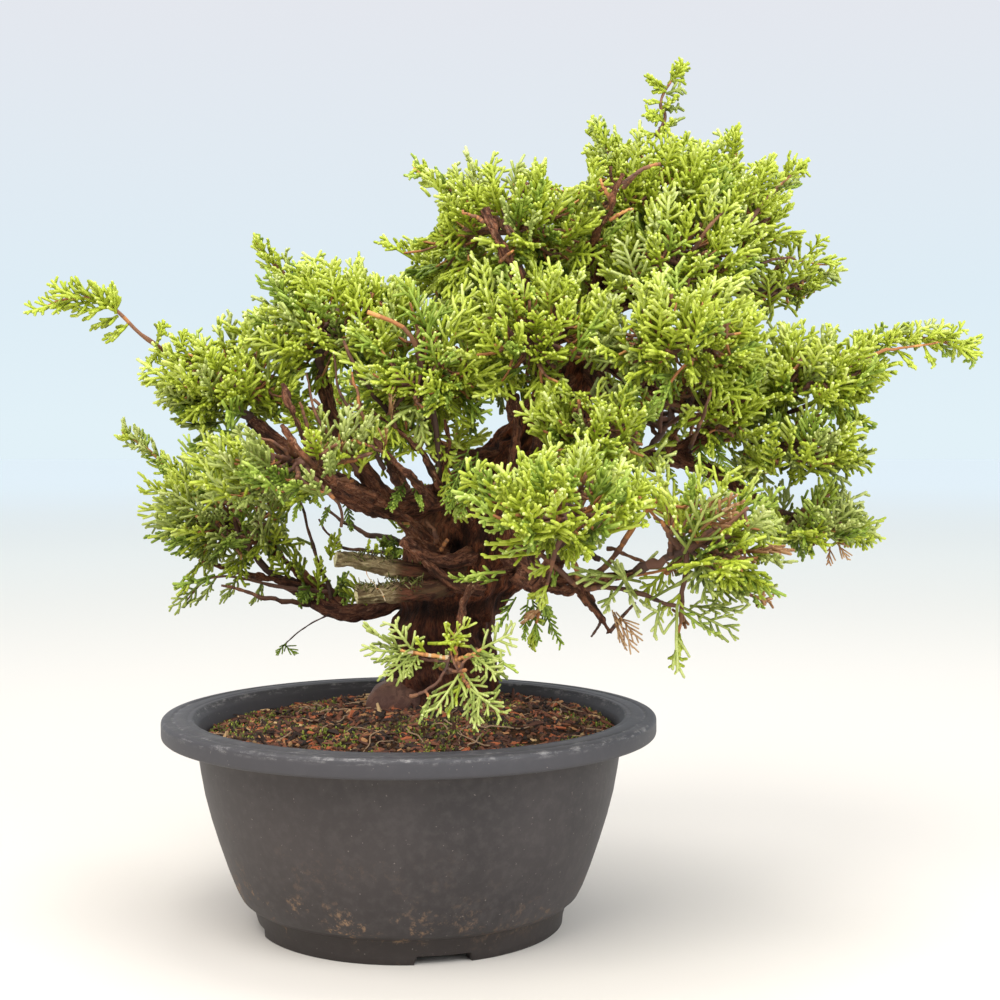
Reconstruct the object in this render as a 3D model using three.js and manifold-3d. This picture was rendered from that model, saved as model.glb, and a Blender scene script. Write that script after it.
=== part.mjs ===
// A small juniper bonsai with scale foliage, in a round plastic training pot.
// Units are millimetres, +Z is up and -Y is the front of the tree.
// Everything is laid out about the pot's axis, and the whole is centred over its own outline at the end.

import * as THREE from "three";
import { mergeVertices } from "three/addons/utils/BufferGeometryUtils.js";
import Module from "manifold-3d";

const wasm = await Module();
wasm.setup();

// Driving dimensions of the pot
const rimRadius = 100;
const rimInner = 87;
const rimTop = 85.5;
const rimBand = 8;
const wall = 2.4;
const bodyTopRadius = 85.5;
const footRadius = 64.5;
const footBottomRadius = 62;
const footHeight = 10;
const footRecess = 3.2;
const footWidth = 5;
const notchWidth = 21;
const notchHeight = 3.4;
const notchCount = 4;
const notchTurn = 0.25;
const potSides = 28;

// The pot's wall between its foot and its band, as outer radius and height
const bodyCurve = [
  [71.5, 17],
  [78.6, 36],
  [82.8, 55],
];

// The soil, and the clear gap between pieces that touch
const soilEdge = 78.5;
const groundLevel = 84;
const moundRadius = 44;
const moundShift = [7, 14];
const gap = 0.3;

// Facets of the limbs: sides round a limb and steps along it
const trunkFacets = { sides: 12, steps: 17 };
const boughFacets = { sides: 5, steps: 4 };
const stubFacets = { sides: 8, steps: 4 };
const lobeFacets = [9, 6];

// The trunk's girth swells and shrinks by these shares, each turning as the trunk rises
const girthWaves = [
  { share: 0.07, lobes: 2, twist: 9 },
  { share: 0.05, lobes: 3, twist: -14 },
];
const samplesPerSpan = 20;

// Foliage: each blade stands for a spray of scale shoots
const coreShare = 0.42;
const coreWaves = { share: 0.09, x: 5, y: 6, z: 5 };
const coreDrawIn = { step: 0.06, least: 0.1 };
const coreRootShare = 0.26;
const twigShare = 0.46;
const spraysPerTwig = 6;
const sprayHeights = [0.98, -0.92];
const rise = 0.5;
const bladeRange = [16, 34];
const bladeSizes = [1, 0.8, 0.62];
const bladeTurns = [0, 0.5, -0.5, 1.1, -1.1];
const bladeThickness = 3.4;
const fingerCounts = [5, 4];
const fingerSpread = 0.34;
const fingerCut = 0.6;
const sideFingerLoss = 0.16;
const thickestShare = 0.24;
const bladeCup = 0.3;
const rootTestShare = 0.3;
const bladeTestShare = 0.4;
const massClearance = 0.05;
const limbClearance = 0.7;
const spaceEdge = 1.1;

// Stems, twigs and long shoots
const stemRadius = 2.1;
const stemReach = 0.25;
const stemBend = 0.4;
const twigRadius = 1.5;
const twigStarts = [0.5, 0.9];
const twigSag = 2;
const shootStart = 0.7;
const shootSag = 4;
const shootEndRadius = 0.9;
const shootBladeSpacing = 18;
const shootBladeSpan = [0.25, 0.84];
const shootBladeTurn = 0.75;
const shootBlade = 14;
const shootTipShare = 0.16;
const shootFingers = 3;
const shootSpace = 10;
const shootSteps = 8;
const shootStepsInside = 3;

const goldenAngle = Math.PI * (3 - Math.sqrt(5));

const bark = { color: 0x5a3626, roughness: 0.85, metalness: 0 };
const cutWood = { color: 0xa89468, roughness: 0.9, metalness: 0 };
const foliage = { color: 0x93ad3a, roughness: 0.6, metalness: 0 };
const plastic = { color: 0x3a393d, roughness: 0.55, metalness: 0 };
const soilLook = { color: 0x4a3022, roughness: 0.95, metalness: 0 };

const vec = (p) => new THREE.Vector3(...p);

// The trunk's centre line, from the ground to the fork under the apex, with its radius at each point.
const trunkLine = [
  { at: [11, 38, 76], r: 26 },
  { at: [11, 38, 88], r: 24 },
  { at: [12, 36, 102], r: 21.5 },
  { at: [12, 34, 117], r: 22.5 },
  { at: [15, 33, 128], r: 21 },
  { at: [21, 30, 140], r: 26 },
  { at: [28, 28, 154], r: 29 },
  { at: [38, 26, 170], r: 24 },
  { at: [51, 24, 192], r: 15 },
  { at: [69, 22, 223], r: 9.5 },
  { at: [78, 20, 254], r: 5.6 },
  { at: [83, 16, 278], r: 3.4 },
];
const rootLobe = { at: [-8, 27, 84], size: [13, 12, 15] };

// Each bough leaves its parent limb at a share of that limb's length, passes one bend and ends at its tip,
// and tapers between its two radii.
const boughs = {
  bough_left_low: branch("trunk", 0.31, [-30, 44, 121], [-58, 54, 134], [6.6, 4]),
  bough_left_mid: branch("trunk", 0.52, [-8, 4, 169], [-38, -14, 184], [7.6, 4.6]),
  bough_left_far: branch("bough_left_mid", 0.97, [-50, -15, 194], [-62, -15, 204], [3.8, 2.6]),
  bough_left_top: branch("bough_left_mid", 0.62, [-30, -6, 204], [-35, -5, 222], [3.8, 2.7]),
  bough_centre_left: branch("trunk", 0.56, [13, 2, 190], [8, -12, 203], [5, 3]),
  bough_upper_left: branch("trunk", 0.68, [50, 2, 232], [45, -5, 262], [4.6, 3]),
  bough_centre_upper: branch("trunk", 0.74, [60, 4, 216], [55, -9, 222], [3, 2.2]),
  bough_right_back: branch("trunk", 0.66, [101, 34, 187], [127, 24, 200], [5.4, 3]),
  bough_right_mid: branch("bough_right_back", 0.97, [134, 10, 198], [140, 0, 195], [2.8, 2.1]),
  bough_right_low: branch("bough_right_back", 0.72, [128, 16, 181], [144, 4, 170], [3, 2.2]),
  bough_right_far: branch("trunk", 0.8, [112, 8, 213], [140, -4, 215], [4.8, 3]),
  bough_top_right: branch("trunk", 0.88, [102, 18, 256], [119, 18, 270], [3.8, 2.6]),
  bough_right_upper: branch("bough_top_right", 0.55, [124, 25, 257], [142, 31, 259], [2.5, 2]),
  bough_right_front: branch("trunk", 0.77, [82, -6, 214], [92, -30, 221], [3.8, 2.6]),
  bough_centre_front: branch("trunk", 0.66, [62, -4, 186], [68, -26, 191], [3.4, 2.4]),
  bough_front_pad: branch("trunk", 0.42, [50, -26, 140], [58, -62, 153], [5.6, 3.4]),
  bough_front_pad_right: branch("bough_front_pad", 0.78, [74, -62, 145], [86, -72, 149], [3, 2.2]),
  bough_hanging: branch("bough_front_pad", 0.4, [30, -50, 134], [21, -73, 123], [2.2, 1.7]),
  bough_right_inner: branch("bough_right_far", 0.5, [112, 0, 210], [113, -7, 211], [2.8, 2.2]),
  bough_upper_right: branch("trunk", 0.9, [92, 8, 259], [101, -1, 261], [3, 2.3]),
  bough_back_upper_left: branch("trunk", 0.83, [48, 34, 246], [27, 45, 260], [3.4, 2.3]),
  bough_back_left: branch("trunk", 0.48, [0, 62, 166], [-12, 80, 182], [5, 3]),
  bough_back_centre: branch("trunk", 0.67, [44, 54, 204], [42, 70, 214], [4.4, 2.8]),
  bough_back_right: branch("trunk", 0.6, [78, 54, 182], [98, 68, 189], [5, 3]),
  bough_back_top: branch("trunk", 0.86, [84, 36, 252], [89, 48, 260], [3.2, 2.2]),
  bough_back_low: branch("trunk", 0.4, [24, 66, 140], [22, 82, 146], [4, 2.6]),
};

// Two short sawn branches on the left of the trunk.
const stubs = {
  stub_upper: branch("trunk", 0.4, [11, -3, 144], [-28, -12, 148], [5, 4.2]),
  stub_lower: branch("trunk", 0.34, [10, -6, 135], [-21, -15, 134], [5.4, 4.7]),
};

// Each mass grows from a limb's tip and fills an ellipsoid. After the limb come its centre, its half sizes,
// its count of sprays and the tips of its long shoots.
const masses = {
  leaves_left_low: clump("bough_left_low", [-80, 58, 157], [51, 42, 40], 14, [-130, 62, 199], [-58, 50, 108]),
  leaves_left_far: clump("bough_left_far", [-80, -14, 218], [31, 32, 35], 11, [-147, -20, 247]),
  leaves_left_top: clump("bough_left_top", [-36, -4, 246], [41, 38, 33], 14, [-60, -10, 276]),
  leaves_left_front: clump("bough_left_mid", [-38, -44, 197], [39, 28, 25], 11),
  leaves_centre_left: clump("bough_centre_left", [7, -24, 221], [29, 32, 35], 11, [19, -20, 167]),
  leaves_upper_left: clump("bough_upper_left", [39, -3, 284], [43, 37, 29], 13, [0, -2, 305]),
  leaves_centre_upper: clump("bough_centre_upper", [51, -32, 236], [29, 30, 30], 11),
  leaves_apex: clump("trunk", [95, 13, 301], [39, 38, 30], 13, [108, 8, 348]),
  leaves_top_right: clump("bough_top_right", [140, 18, 287], [30, 37, 36], 12, [162, 24, 312]),
  leaves_right_upper: clump("bough_right_upper", [160, 36, 261], [25, 29, 20], 8),
  leaves_upper_right: clump("bough_upper_right", [111, -12, 267], [29, 28, 25], 9),
  leaves_right_front: clump("bough_right_front", [106, -50, 235], [31, 31, 26], 11),
  leaves_right_inner: clump("bough_right_inner", [116, -24, 208], [28, 27, 21], 8),
  leaves_right_far: clump("bough_right_far", [167, -12, 224], [39, 34, 24], 11, [225, -16, 231]),
  leaves_right_mid: clump("bough_right_mid", [162, -16, 194], [32, 32, 17], 9),
  leaves_right_low: clump("bough_right_low", [164, -6, 164], [30, 31, 20], 9),
  leaves_centre_front: clump("bough_centre_front", [75, -44, 201], [30, 27, 19], 10),
  leaves_front_pad: clump("bough_front_pad", [57, -90, 173], [37, 34, 22], 12, [52, -50, 121]),
  leaves_front_pad_right: clump("bough_front_pad_right", [107, -76, 163], [35, 34, 27], 11, [104, -62, 112]),
  leaves_hanging: clump("bough_hanging", [16, -78, 112], [31, 16, 21], 9),
  leaves_back_upper_left: clump("bough_back_upper_left", [8, 50, 276], [27, 30, 26], 9),
  leaves_back_left: clump("bough_back_left", [-24, 94, 204], [44, 34, 32], 12),
  leaves_back_centre: clump("bough_back_centre", [42, 88, 235], [41, 34, 35], 12),
  leaves_back_right: clump("bough_back_right", [116, 82, 208], [44, 36, 32], 12),
  leaves_back_top: clump("bough_back_top", [92, 62, 274], [41, 32, 31], 11),
  leaves_back_low: clump("bough_back_low", [20, 102, 158], [36, 30, 21], 9),
};

function branch(parent, at, via, tip, radii) {
  return { parent, at, via, tip, radii };
}

function clump(limb, centre, half, sprays, ...shoots) {
  return { limb, centre, half, sprays, shoots };
}

// A repeatable random number from 0 to 1 out of a seed and an index.
function chance(seed, index) {
  const wave = Math.sin(seed * 12.9898 + index * 78.233) * 43758.5453;
  return wave - Math.floor(wave);
}

// A closed geometry as a manifold solid.
function toSolid(geometry) {
  const bare = geometry.clone();
  bare.deleteAttribute("normal");
  bare.deleteAttribute("uv");
  const merged = mergeVertices(bare, 1e-3);
  const triVerts = new Uint32Array(merged.index.array);
  const vertProperties = merged.attributes.position.array;
  const build = () => new wasm.Manifold(new wasm.Mesh({ numProp: 3, vertProperties, triVerts }));
  const solid = build();
  if (solid.volume() > 0) return solid;
  for (let i = 0; i < triVerts.length; i += 3) {
    [triVerts[i + 1], triVerts[i + 2]] = [triVerts[i + 2], triVerts[i + 1]];
  }
  return build();
}

// A manifold solid as a geometry with flat faces.
function toGeometry(solid) {
  const mesh = solid.getMesh();
  const points = new Float32Array(mesh.numVert * 3);
  for (let i = 0; i < mesh.numVert; i++) {
    points.set(mesh.vertProperties.subarray(i * mesh.numProp, i * mesh.numProp + 3), i * 3);
  }
  const geometry = new THREE.BufferGeometry();
  geometry.setAttribute("position", new THREE.BufferAttribute(points, 3));
  geometry.setIndex(new THREE.BufferAttribute(mesh.triVerts, 1));
  geometry.computeVertexNormals();
  return geometry;
}

// A limb round a curve: a lathe turned from its radius, then bent so that its axis follows the curve.
// A pointed limb ends on its axis. With grow, the limb is larger by that much all round and at both ends.
function bendLimb(curve, radiusAt, { sides, steps, pointed = false, grow = 0 }) {
  const profile = [new THREE.Vector2(0, 0)];
  for (let i = 0; i <= steps - (pointed ? 1 : 0); i++) profile.push(new THREE.Vector2(1, i));
  profile.push(new THREE.Vector2(0, steps));
  const lathe = new THREE.LatheGeometry(profile, sides);
  const frames = curve.computeFrenetFrames(steps, false);
  const place = lathe.attributes.position;
  for (let i = 0; i < place.count; i++) {
    const step = Math.round(place.getY(i));
    const share = step / steps;
    const point = curve.getPointAt(share);
    if (step === 0) point.addScaledVector(frames.tangents[0], -grow);
    if (step === steps) point.addScaledVector(frames.tangents[steps], grow);
    const across = new THREE.Vector2(place.getX(i), place.getZ(i));
    if (across.length() > 0.5) {
      across.setLength(radiusAt(share, across.angle()) + grow);
      point.addScaledVector(frames.normals[step], across.x);
      point.addScaledVector(frames.binormals[step], across.y);
    }
    place.setXYZ(i, point.x, point.y, point.z);
  }
  return toSolid(lathe);
}

// A ring profile of radius and height, turned about Z.
function turned(profile) {
  const points = profile.map(([radius, height]) => new THREE.Vector2(radius, height));
  return new THREE.LatheGeometry(points, potSides).rotateX(Math.PI / 2);
}

// Limbs

const limbs = {};

// A limb is its tube less the limbs made before it. Its clear copy, larger by the gap, cuts what comes later.
function addLimb(name, curve, radiusAt, facets) {
  const line = [];
  for (let i = 0; i <= facets.steps; i++) {
    const share = i / facets.steps;
    line.push({ point: curve.getPointAt(share), radius: radiusAt(share, 0) });
  }
  let solid = bendLimb(curve, radiusAt, facets);
  for (const other of Object.values(limbs)) solid = solid.subtract(other.clear);
  limbs[name] = { curve, line, solid, clear: bendLimb(curve, radiusAt, { ...facets, grow: gap }) };
}

function makeTrunk() {
  const curve = new THREE.CatmullRomCurve3(trunkLine.map((p) => vec(p.at)), false, "centripetal");
  const samples = (trunkLine.length - 1) * samplesPerSpan;
  const lengths = curve.getLengths(samples);
  const marks = trunkLine.map((p, i) => lengths[i * samplesPerSpan] / lengths[samples]);
  const radiusAt = (share, turn) => {
    const above = marks.findIndex((mark) => mark >= share);
    const next = above < 0 ? marks.length - 1 : Math.max(1, above);
    const part = (share - marks[next - 1]) / (marks[next] - marks[next - 1]);
    let girth = THREE.MathUtils.lerp(trunkLine[next - 1].r, trunkLine[next].r, part);
    for (const { share: size, lobes, twist } of girthWaves) {
      girth *= 1 + size * Math.cos(lobes * turn + twist * share);
    }
    return girth;
  };
  addLimb("trunk", curve, radiusAt, trunkFacets);
  const lobe = new THREE.SphereGeometry(1, ...lobeFacets);
  lobe.scale(...rootLobe.size);
  lobe.translate(...rootLobe.at);
  const below = new THREE.BoxGeometry(2 * rimRadius, 2 * rimRadius, groundLevel);
  below.translate(0, 0, groundLevel / 2 + gap);
  limbs.trunk.solid = limbs.trunk.solid.add(toSolid(lobe)).subtract(toSolid(below));
}

function makeBough(name, plan, facets) {
  const start = limbs[plan.parent].curve.getPointAt(plan.at);
  const curve = new THREE.CatmullRomCurve3([start, vec(plan.via), vec(plan.tip)], false, "centripetal");
  addLimb(name, curve, (share) => THREE.MathUtils.lerp(...plan.radii, share), facets);
}

// Foliage

// How far out a point lies in a mass's ellipsoid: 0 at its centre and 1 on its outline.
function depthIn(mass, point) {
  return new THREE.Vector3().subVectors(point, vec(mass.centre)).divide(vec(mass.half)).length();
}

// The distance from a point to the surface of a tapering line.
function distanceToLine(point, line) {
  let nearest = Infinity;
  const toPoint = new THREE.Vector3();
  const segment = new THREE.Vector3();
  for (let i = 1; i < line.length; i++) {
    segment.subVectors(line[i].point, line[i - 1].point);
    toPoint.subVectors(point, line[i - 1].point);
    const share = THREE.MathUtils.clamp(toPoint.dot(segment) / segment.lengthSq(), 0, 1);
    const radius = THREE.MathUtils.lerp(line[i - 1].radius, line[i].radius, share);
    nearest = Math.min(nearest, toPoint.addScaledVector(segment, -share).length() - radius);
  }
  return nearest;
}

function nearShoots(mass, point, reach) {
  return mass.shootLines.some((line) => distanceToLine(point, line) < reach);
}

// True where a point lies in its mass's own space and clear of every limb. A mass holds the points that are
// further in for it than for any other, and those beside its long shoots.
function hasRoom(name, point) {
  const own = depthIn(masses[name], point);
  const besideShoot = nearShoots(masses[name], point, shootSpace);
  if (own > spaceEdge && !besideShoot) return false;
  const claim = (besideShoot ? Math.min(own, 1) : own) + massClearance;
  for (const [other, mass] of Object.entries(masses)) {
    if (other === name) continue;
    if (depthIn(mass, point) < claim || nearShoots(mass, point, shootSpace + 1)) return false;
  }
  return Object.values(limbs).every((limb) => distanceToLine(point, limb.line) > limbClearance);
}

// A spray's blade: a flat star of pointed fingers that fan out from its root at the origin, along +Y.
// It is thickest just over its root, thins to its edge, and its outer fingers curl up.
function bladeGeometry(length, fingers) {
  const outline = [[0, 0]];
  for (let i = 0; i <= 2 * (fingers - 1); i++) {
    const turn = (i / 2 - (fingers - 1) / 2) * fingerSpread;
    const reach = length * (i % 2 ? fingerCut : 1 - sideFingerLoss * Math.abs(turn));
    outline.push([Math.sin(turn) * reach, Math.cos(turn) * reach]);
  }
  const blade = new THREE.SphereGeometry(1, outline.length, 2);
  const place = blade.attributes.position;
  for (let i = 0; i < place.count; i++) {
    const row = Math.floor(i / (outline.length + 1));
    const [x, y] = outline[(i % (outline.length + 1)) % outline.length];
    if (row === 1) place.setXYZ(i, x, y, (bladeCup * x * x) / length);
    else place.setXYZ(i, 0, thickestShare * length, ((1 - row) * bladeThickness) / 2);
  }
  return blade;
}

// A blade that grows from a root along its heading, with its back to the outside, clear of other blades.
// It tries a few turns about its heading, then smaller sizes, and is left out where none has room.
function placeBlade(name, root, heading, outward, fullLength, fingers, others) {
  for (const length of bladeSizes.map((size) => size * fullLength)) {
    for (const turn of bladeTurns) {
      const side = new THREE.Vector3().crossVectors(heading, outward).normalize();
      side.applyAxisAngle(heading, turn);
      const face = new THREE.Vector3().crossVectors(side, heading);
      const geometry = bladeGeometry(length, fingers);
      geometry.applyMatrix4(new THREE.Matrix4().makeBasis(side, heading, face).setPosition(root));
      const place = geometry.attributes.position;
      let free = true;
      for (let i = 0; i < place.count && free; i++) {
        const corner = new THREE.Vector3().fromBufferAttribute(place, i);
        const inside = corner.clone().lerp(root, bladeTestShare);
        if (corner.distanceTo(root) < rootTestShare * length) continue;
        free = hasRoom(name, corner) && hasRoom(name, inside);
      }
      const blade = free ? toSolid(geometry) : null;
      if (blade && others.every((other) => other.intersect(blade).isEmpty())) return blade;
    }
  }
  return null;
}

// A mass's core: a lumpy ball, drawn in wherever it would leave the mass's space.
function makeCore(name, seed) {
  const core = new THREE.IcosahedronGeometry(1, 0);
  const place = core.attributes.position;
  const mass = masses[name];
  for (let i = 0; i < place.count; i++) {
    const direction = new THREE.Vector3().fromBufferAttribute(place, i);
    let lumps = Math.sin(coreWaves.x * direction.x + seed);
    lumps += Math.sin(coreWaves.y * direction.y + 2 * seed);
    lumps += Math.sin(coreWaves.z * direction.z);
    const point = new THREE.Vector3();
    const start = coreShare * (1 + coreWaves.share * lumps);
    for (let share = start; share > coreDrawIn.least; share -= coreDrawIn.step) {
      point.copy(direction).multiply(vec(mass.half)).multiplyScalar(share).add(vec(mass.centre));
      if (hasRoom(name, point)) break;
    }
    place.setXYZ(i, point.x, point.y, point.z);
  }
  return toSolid(core);
}

// The sprays' tips lie evenly all over the mass's outline, and each spray rises to its tip from a root
// lower down. Most are rooted in the core, and every sixth one ends a twig.
function growSprays(name, seed, pieces) {
  const mass = masses[name];
  const centre = vec(mass.centre);
  const half = vec(mass.half);
  const blades = [];
  for (let i = 0; i < mass.sprays; i++) {
    const height = THREE.MathUtils.lerp(...sprayHeights, (i + 0.5) / mass.sprays);
    const around = i * goldenAngle + 2 * Math.PI * chance(seed, 0);
    const flat = Math.sqrt(1 - height * height);
    const out = new THREE.Vector3(flat * Math.cos(around), flat * Math.sin(around), height);
    const below = new THREE.Vector3(chance(seed + 1, i) - 0.5, chance(seed + 2, i) - 0.5, -1);
    const onTwig = i % spraysPerTwig === 0;
    const low = out.clone().addScaledVector(below, rise).normalize();
    const root = low.multiplyScalar(onTwig ? twigShare : coreRootShare).multiply(half).add(centre);
    const tip = out.clone().multiply(half).add(centre);
    const heading = tip.clone().sub(root);
    const length = THREE.MathUtils.clamp(heading.length(), ...bladeRange);
    heading.normalize();
    const blade = placeBlade(name, root, heading, out, length, fingerCounts[i % 2], blades);
    if (!blade) continue;
    blades.push(blade);
    if (!onTwig) continue;
    const start = mass.stem.getPoint(THREE.MathUtils.lerp(...twigStarts, chance(seed + 3, i)));
    const end = root.clone().addScaledVector(heading, thickestShare * length);
    const bend = start.clone().lerp(end, 0.5).sub(new THREE.Vector3(0, 0, twigSag));
    const curve = new THREE.QuadraticBezierCurve3(start, bend, end);
    pieces.push(bendLimb(curve, () => twigRadius, { sides: 3, steps: 2, pointed: true }));
  }
  pieces.push(...blades);
}

// A long shoot runs from the stem to a tip that stands out of the mass, with small blades in turn along it.
function growShoot(name, curve, pieces) {
  const taper = (share) => THREE.MathUtils.lerp(twigRadius, shootEndRadius, share);
  const front = new THREE.Vector3(0, -1, 0);
  const grown = [];
  const count = Math.round(curve.getLength() / shootBladeSpacing);
  for (let i = 1; i <= count; i++) {
    const share = THREE.MathUtils.lerp(...shootBladeSpan, i / count);
    const turn = i === count ? 0 : shootBladeTurn * (i % 2 ? -1 : 1);
    const heading = curve.getTangentAt(share).applyAxisAngle(front, turn);
    const length = i === count ? curve.getLength() * shootTipShare : shootBlade;
    const root = curve.getPointAt(share);
    const blade = placeBlade(name, root, heading, front, length, shootFingers, grown);
    if (blade) grown.push(blade);
  }
  pieces.push(bendLimb(curve, taper, { sides: 3, steps: 3, pointed: true }), ...grown);
}

// The stem runs on from its limb's tip, past the middle of its mass.
function planMass(mass) {
  const limb = limbs[mass.limb];
  const start = limb.curve.getPointAt(1);
  const leave = limb.curve.getTangentAt(1);
  const centre = vec(mass.centre);
  const axis = new THREE.Vector3().subVectors(centre, start).normalize();
  const end = centre.clone().addScaledVector(axis, stemReach * Math.min(...mass.half));
  const bend = start.clone().addScaledVector(leave, stemBend * start.distanceTo(end));
  mass.stem = new THREE.QuadraticBezierCurve3(start, bend, end);
  mass.shootCurves = mass.shoots.map((tip) => {
    const root = mass.stem.getPoint(shootStart);
    const knee = root.clone().lerp(vec(tip), 0.5).sub(new THREE.Vector3(0, 0, shootSag));
    return new THREE.QuadraticBezierCurve3(root, knee, vec(tip));
  });
  mass.shootLines = mass.shootCurves.map((curve) => {
    const outer = curve.getPoints(shootSteps).slice(shootStepsInside);
    return outer.map((point) => ({ point, radius: 0 }));
  });
}

// The parts of a mass as one solid, cut clear of the limbs. A scrap that the cuts part from it is dropped.
function growMass(name, seed) {
  const mass = masses[name];
  const taper = (share) => THREE.MathUtils.lerp(stemRadius, twigRadius, share);
  const pieces = [bendLimb(mass.stem, taper, { sides: 4, steps: 3, pointed: true }), makeCore(name, seed)];
  for (const curve of mass.shootCurves) growShoot(name, curve, pieces);
  growSprays(name, seed, pieces);
  let solid = wasm.Manifold.union(pieces);
  for (const limb of Object.values(limbs)) solid = solid.subtract(limb.clear);
  return solid.decompose().sort((a, b) => b.volume() - a.volume())[0];
}

// Pot and soil

function makePot() {
  const bandFoot = rimTop - rimBand;
  const outside = [
    [footBottomRadius, 0],
    [footRadius, footHeight],
    ...bodyCurve,
    [bodyTopRadius, bandFoot - 6],
    [bodyTopRadius + 0.6, bandFoot],
    [rimRadius - 1, bandFoot],
    [rimRadius, bandFoot + 1.2],
    [rimRadius, rimTop - 2],
    [rimRadius - 1.5, rimTop - 0.3],
    [rimInner + 2, rimTop],
    [rimInner, rimTop - 1],
  ];
  const underside = [
    [0, footRecess],
    [footBottomRadius - footWidth, footRecess],
    [footBottomRadius - footWidth, 0],
    [footBottomRadius, 0],
  ];
  let pot = toSolid(turned([...outside, ...insideOfPot(0), ...underside]));
  for (let i = 0; i < notchCount; i++) {
    const notch = new THREE.BoxGeometry(notchWidth, 4 * footWidth, 2 * notchHeight);
    notch.translate(0, -footBottomRadius, 0);
    notch.rotateZ(notchTurn + (i * 2 * Math.PI) / notchCount);
    pot = pot.subtract(toSolid(notch));
  }
  return pot;
}

// The inside of the pot's wall and floor, from the top down, drawn in by a clearance.
function insideOfPot(clearance) {
  const inner = wall + clearance;
  return [
    [bodyTopRadius - inner, rimTop - rimBand - 4],
    ...bodyCurve.map(([radius, height]) => [radius - inner, height]).reverse(),
    [footRadius - 3 - inner, footRecess + wall + 2 + clearance],
    [0, footRecess + wall + clearance],
  ];
}

// The soil fills the pot and rises to a flat mound, shifted from the pot's axis to lie under the trunk.
function makeSoil() {
  const edge = bodyTopRadius - wall - gap;
  const surface = [
    [0, groundLevel],
    [moundRadius - 5, groundLevel],
    [moundRadius + 8, groundLevel - 1.6],
    [edge - 10, soilEdge + 1],
    [edge, soilEdge],
  ];
  const soil = turned([...surface, ...insideOfPot(gap)]);
  const place = soil.attributes.position;
  for (let i = 0; i < place.count; i++) {
    const lift = Math.max(0, (place.getZ(i) - soilEdge) / (groundLevel - soilEdge));
    place.setX(i, place.getX(i) + lift * moundShift[0]);
    place.setY(i, place.getY(i) + lift * moundShift[1]);
  }
  return toSolid(soil);
}

// Assembly

const bonsai = new THREE.Group();

function addNode(name, solid, look) {
  const mesh = new THREE.Mesh(toGeometry(solid), new THREE.MeshStandardMaterial(look));
  mesh.name = name;
  bonsai.add(mesh);
}

makeTrunk();
for (const [name, plan] of Object.entries(boughs)) makeBough(name, plan, boughFacets);
for (const [name, plan] of Object.entries(stubs)) makeBough(name, plan, stubFacets);
Object.values(masses).forEach(planMass);

addNode("pot", makePot(), plastic);
addNode("soil", makeSoil(), soilLook);
for (const [name, limb] of Object.entries(limbs)) addNode(name, limb.solid, name in stubs ? cutWood : bark);
Object.keys(masses).forEach((name, i) => addNode(name, growMass(name, 100 * (i + 1)), foliage));

const outline = new THREE.Box3().setFromObject(bonsai);
const middle = outline.getCenter(new THREE.Vector3());
bonsai.position.set(-middle.x, -middle.y, 0);

export default bonsai;
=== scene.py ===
import math

import bpy
import numpy as np
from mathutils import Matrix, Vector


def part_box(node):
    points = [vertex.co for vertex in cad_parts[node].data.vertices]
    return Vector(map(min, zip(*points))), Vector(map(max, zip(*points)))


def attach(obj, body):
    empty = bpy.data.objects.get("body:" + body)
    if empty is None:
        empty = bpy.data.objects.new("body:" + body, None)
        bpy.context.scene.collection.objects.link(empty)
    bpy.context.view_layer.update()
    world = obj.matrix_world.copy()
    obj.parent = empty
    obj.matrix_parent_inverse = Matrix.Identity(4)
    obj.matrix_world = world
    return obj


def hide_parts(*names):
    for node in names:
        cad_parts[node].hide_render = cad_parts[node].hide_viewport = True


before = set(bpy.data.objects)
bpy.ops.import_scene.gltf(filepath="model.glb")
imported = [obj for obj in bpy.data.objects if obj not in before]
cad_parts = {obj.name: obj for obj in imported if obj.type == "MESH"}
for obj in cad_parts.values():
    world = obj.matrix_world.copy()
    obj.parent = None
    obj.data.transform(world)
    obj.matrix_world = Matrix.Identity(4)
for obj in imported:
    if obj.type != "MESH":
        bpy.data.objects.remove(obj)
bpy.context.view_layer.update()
potLow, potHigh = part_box("pot")
potAxis = np.array([(potLow.x + potHigh.x) / 2, (potLow.y + potHigh.y) / 2, 0.0])
goldenAngle = math.pi * (3 - math.sqrt(5))
print("frame loaded")


# Small helpers for arrays of points

def unit(v):  # each vector over its length
    return v / np.maximum(np.linalg.norm(v, axis=-1, keepdims=True), 1e-9)


def lerp(a, b, t):  # a + (b - a) t
    return a + (b - a) * t


def smoothStep(low, high, x):  # 3 t^2 - 2 t^3 with t the share of the way from low to high
    t = np.clip((x - low) / (high - low), 0, 1)
    return t * t * (3 - 2 * t)


def turnAbout(v, axis, angle):  # v cos + (axis x v) sin + axis (axis . v)(1 - cos)
    c, s = np.cos(angle)[..., None], np.sin(angle)[..., None]
    along = np.sum(v * axis, axis=-1, keepdims=True)
    return v * c + np.cross(axis, v) * s + axis * along * (1 - c)


hashScale = 43758.5453


def chance(seed, index):  # the fraction of a large sine, from 0 to 1
    wave = np.sin(seed * 12.9898 + index * 78.233) * hashScale
    return wave - np.floor(wave)


def valueNoise(points, size, seed=0.0):
    # Random values on a cubic lattice of that size, blended with 3 t^2 - 2 t^3 between the eight corners.
    p = np.asarray(points, float) / size
    cell = np.floor(p)
    t = p - cell
    t = t * t * (3 - 2 * t)
    total = 0.0
    for corner in np.ndindex(2, 2, 2):
        c = cell + corner
        h = np.sin(c[..., 0] * 127.1 + c[..., 1] * 311.7 + c[..., 2] * 74.7 + seed * 19.19) * hashScale
        wx, wy, wz = (np.where(corner[i], t[..., i], 1 - t[..., i]) for i in range(3))
        total = total + (h - np.floor(h)) * (wx * wy) * wz
    return total


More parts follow.
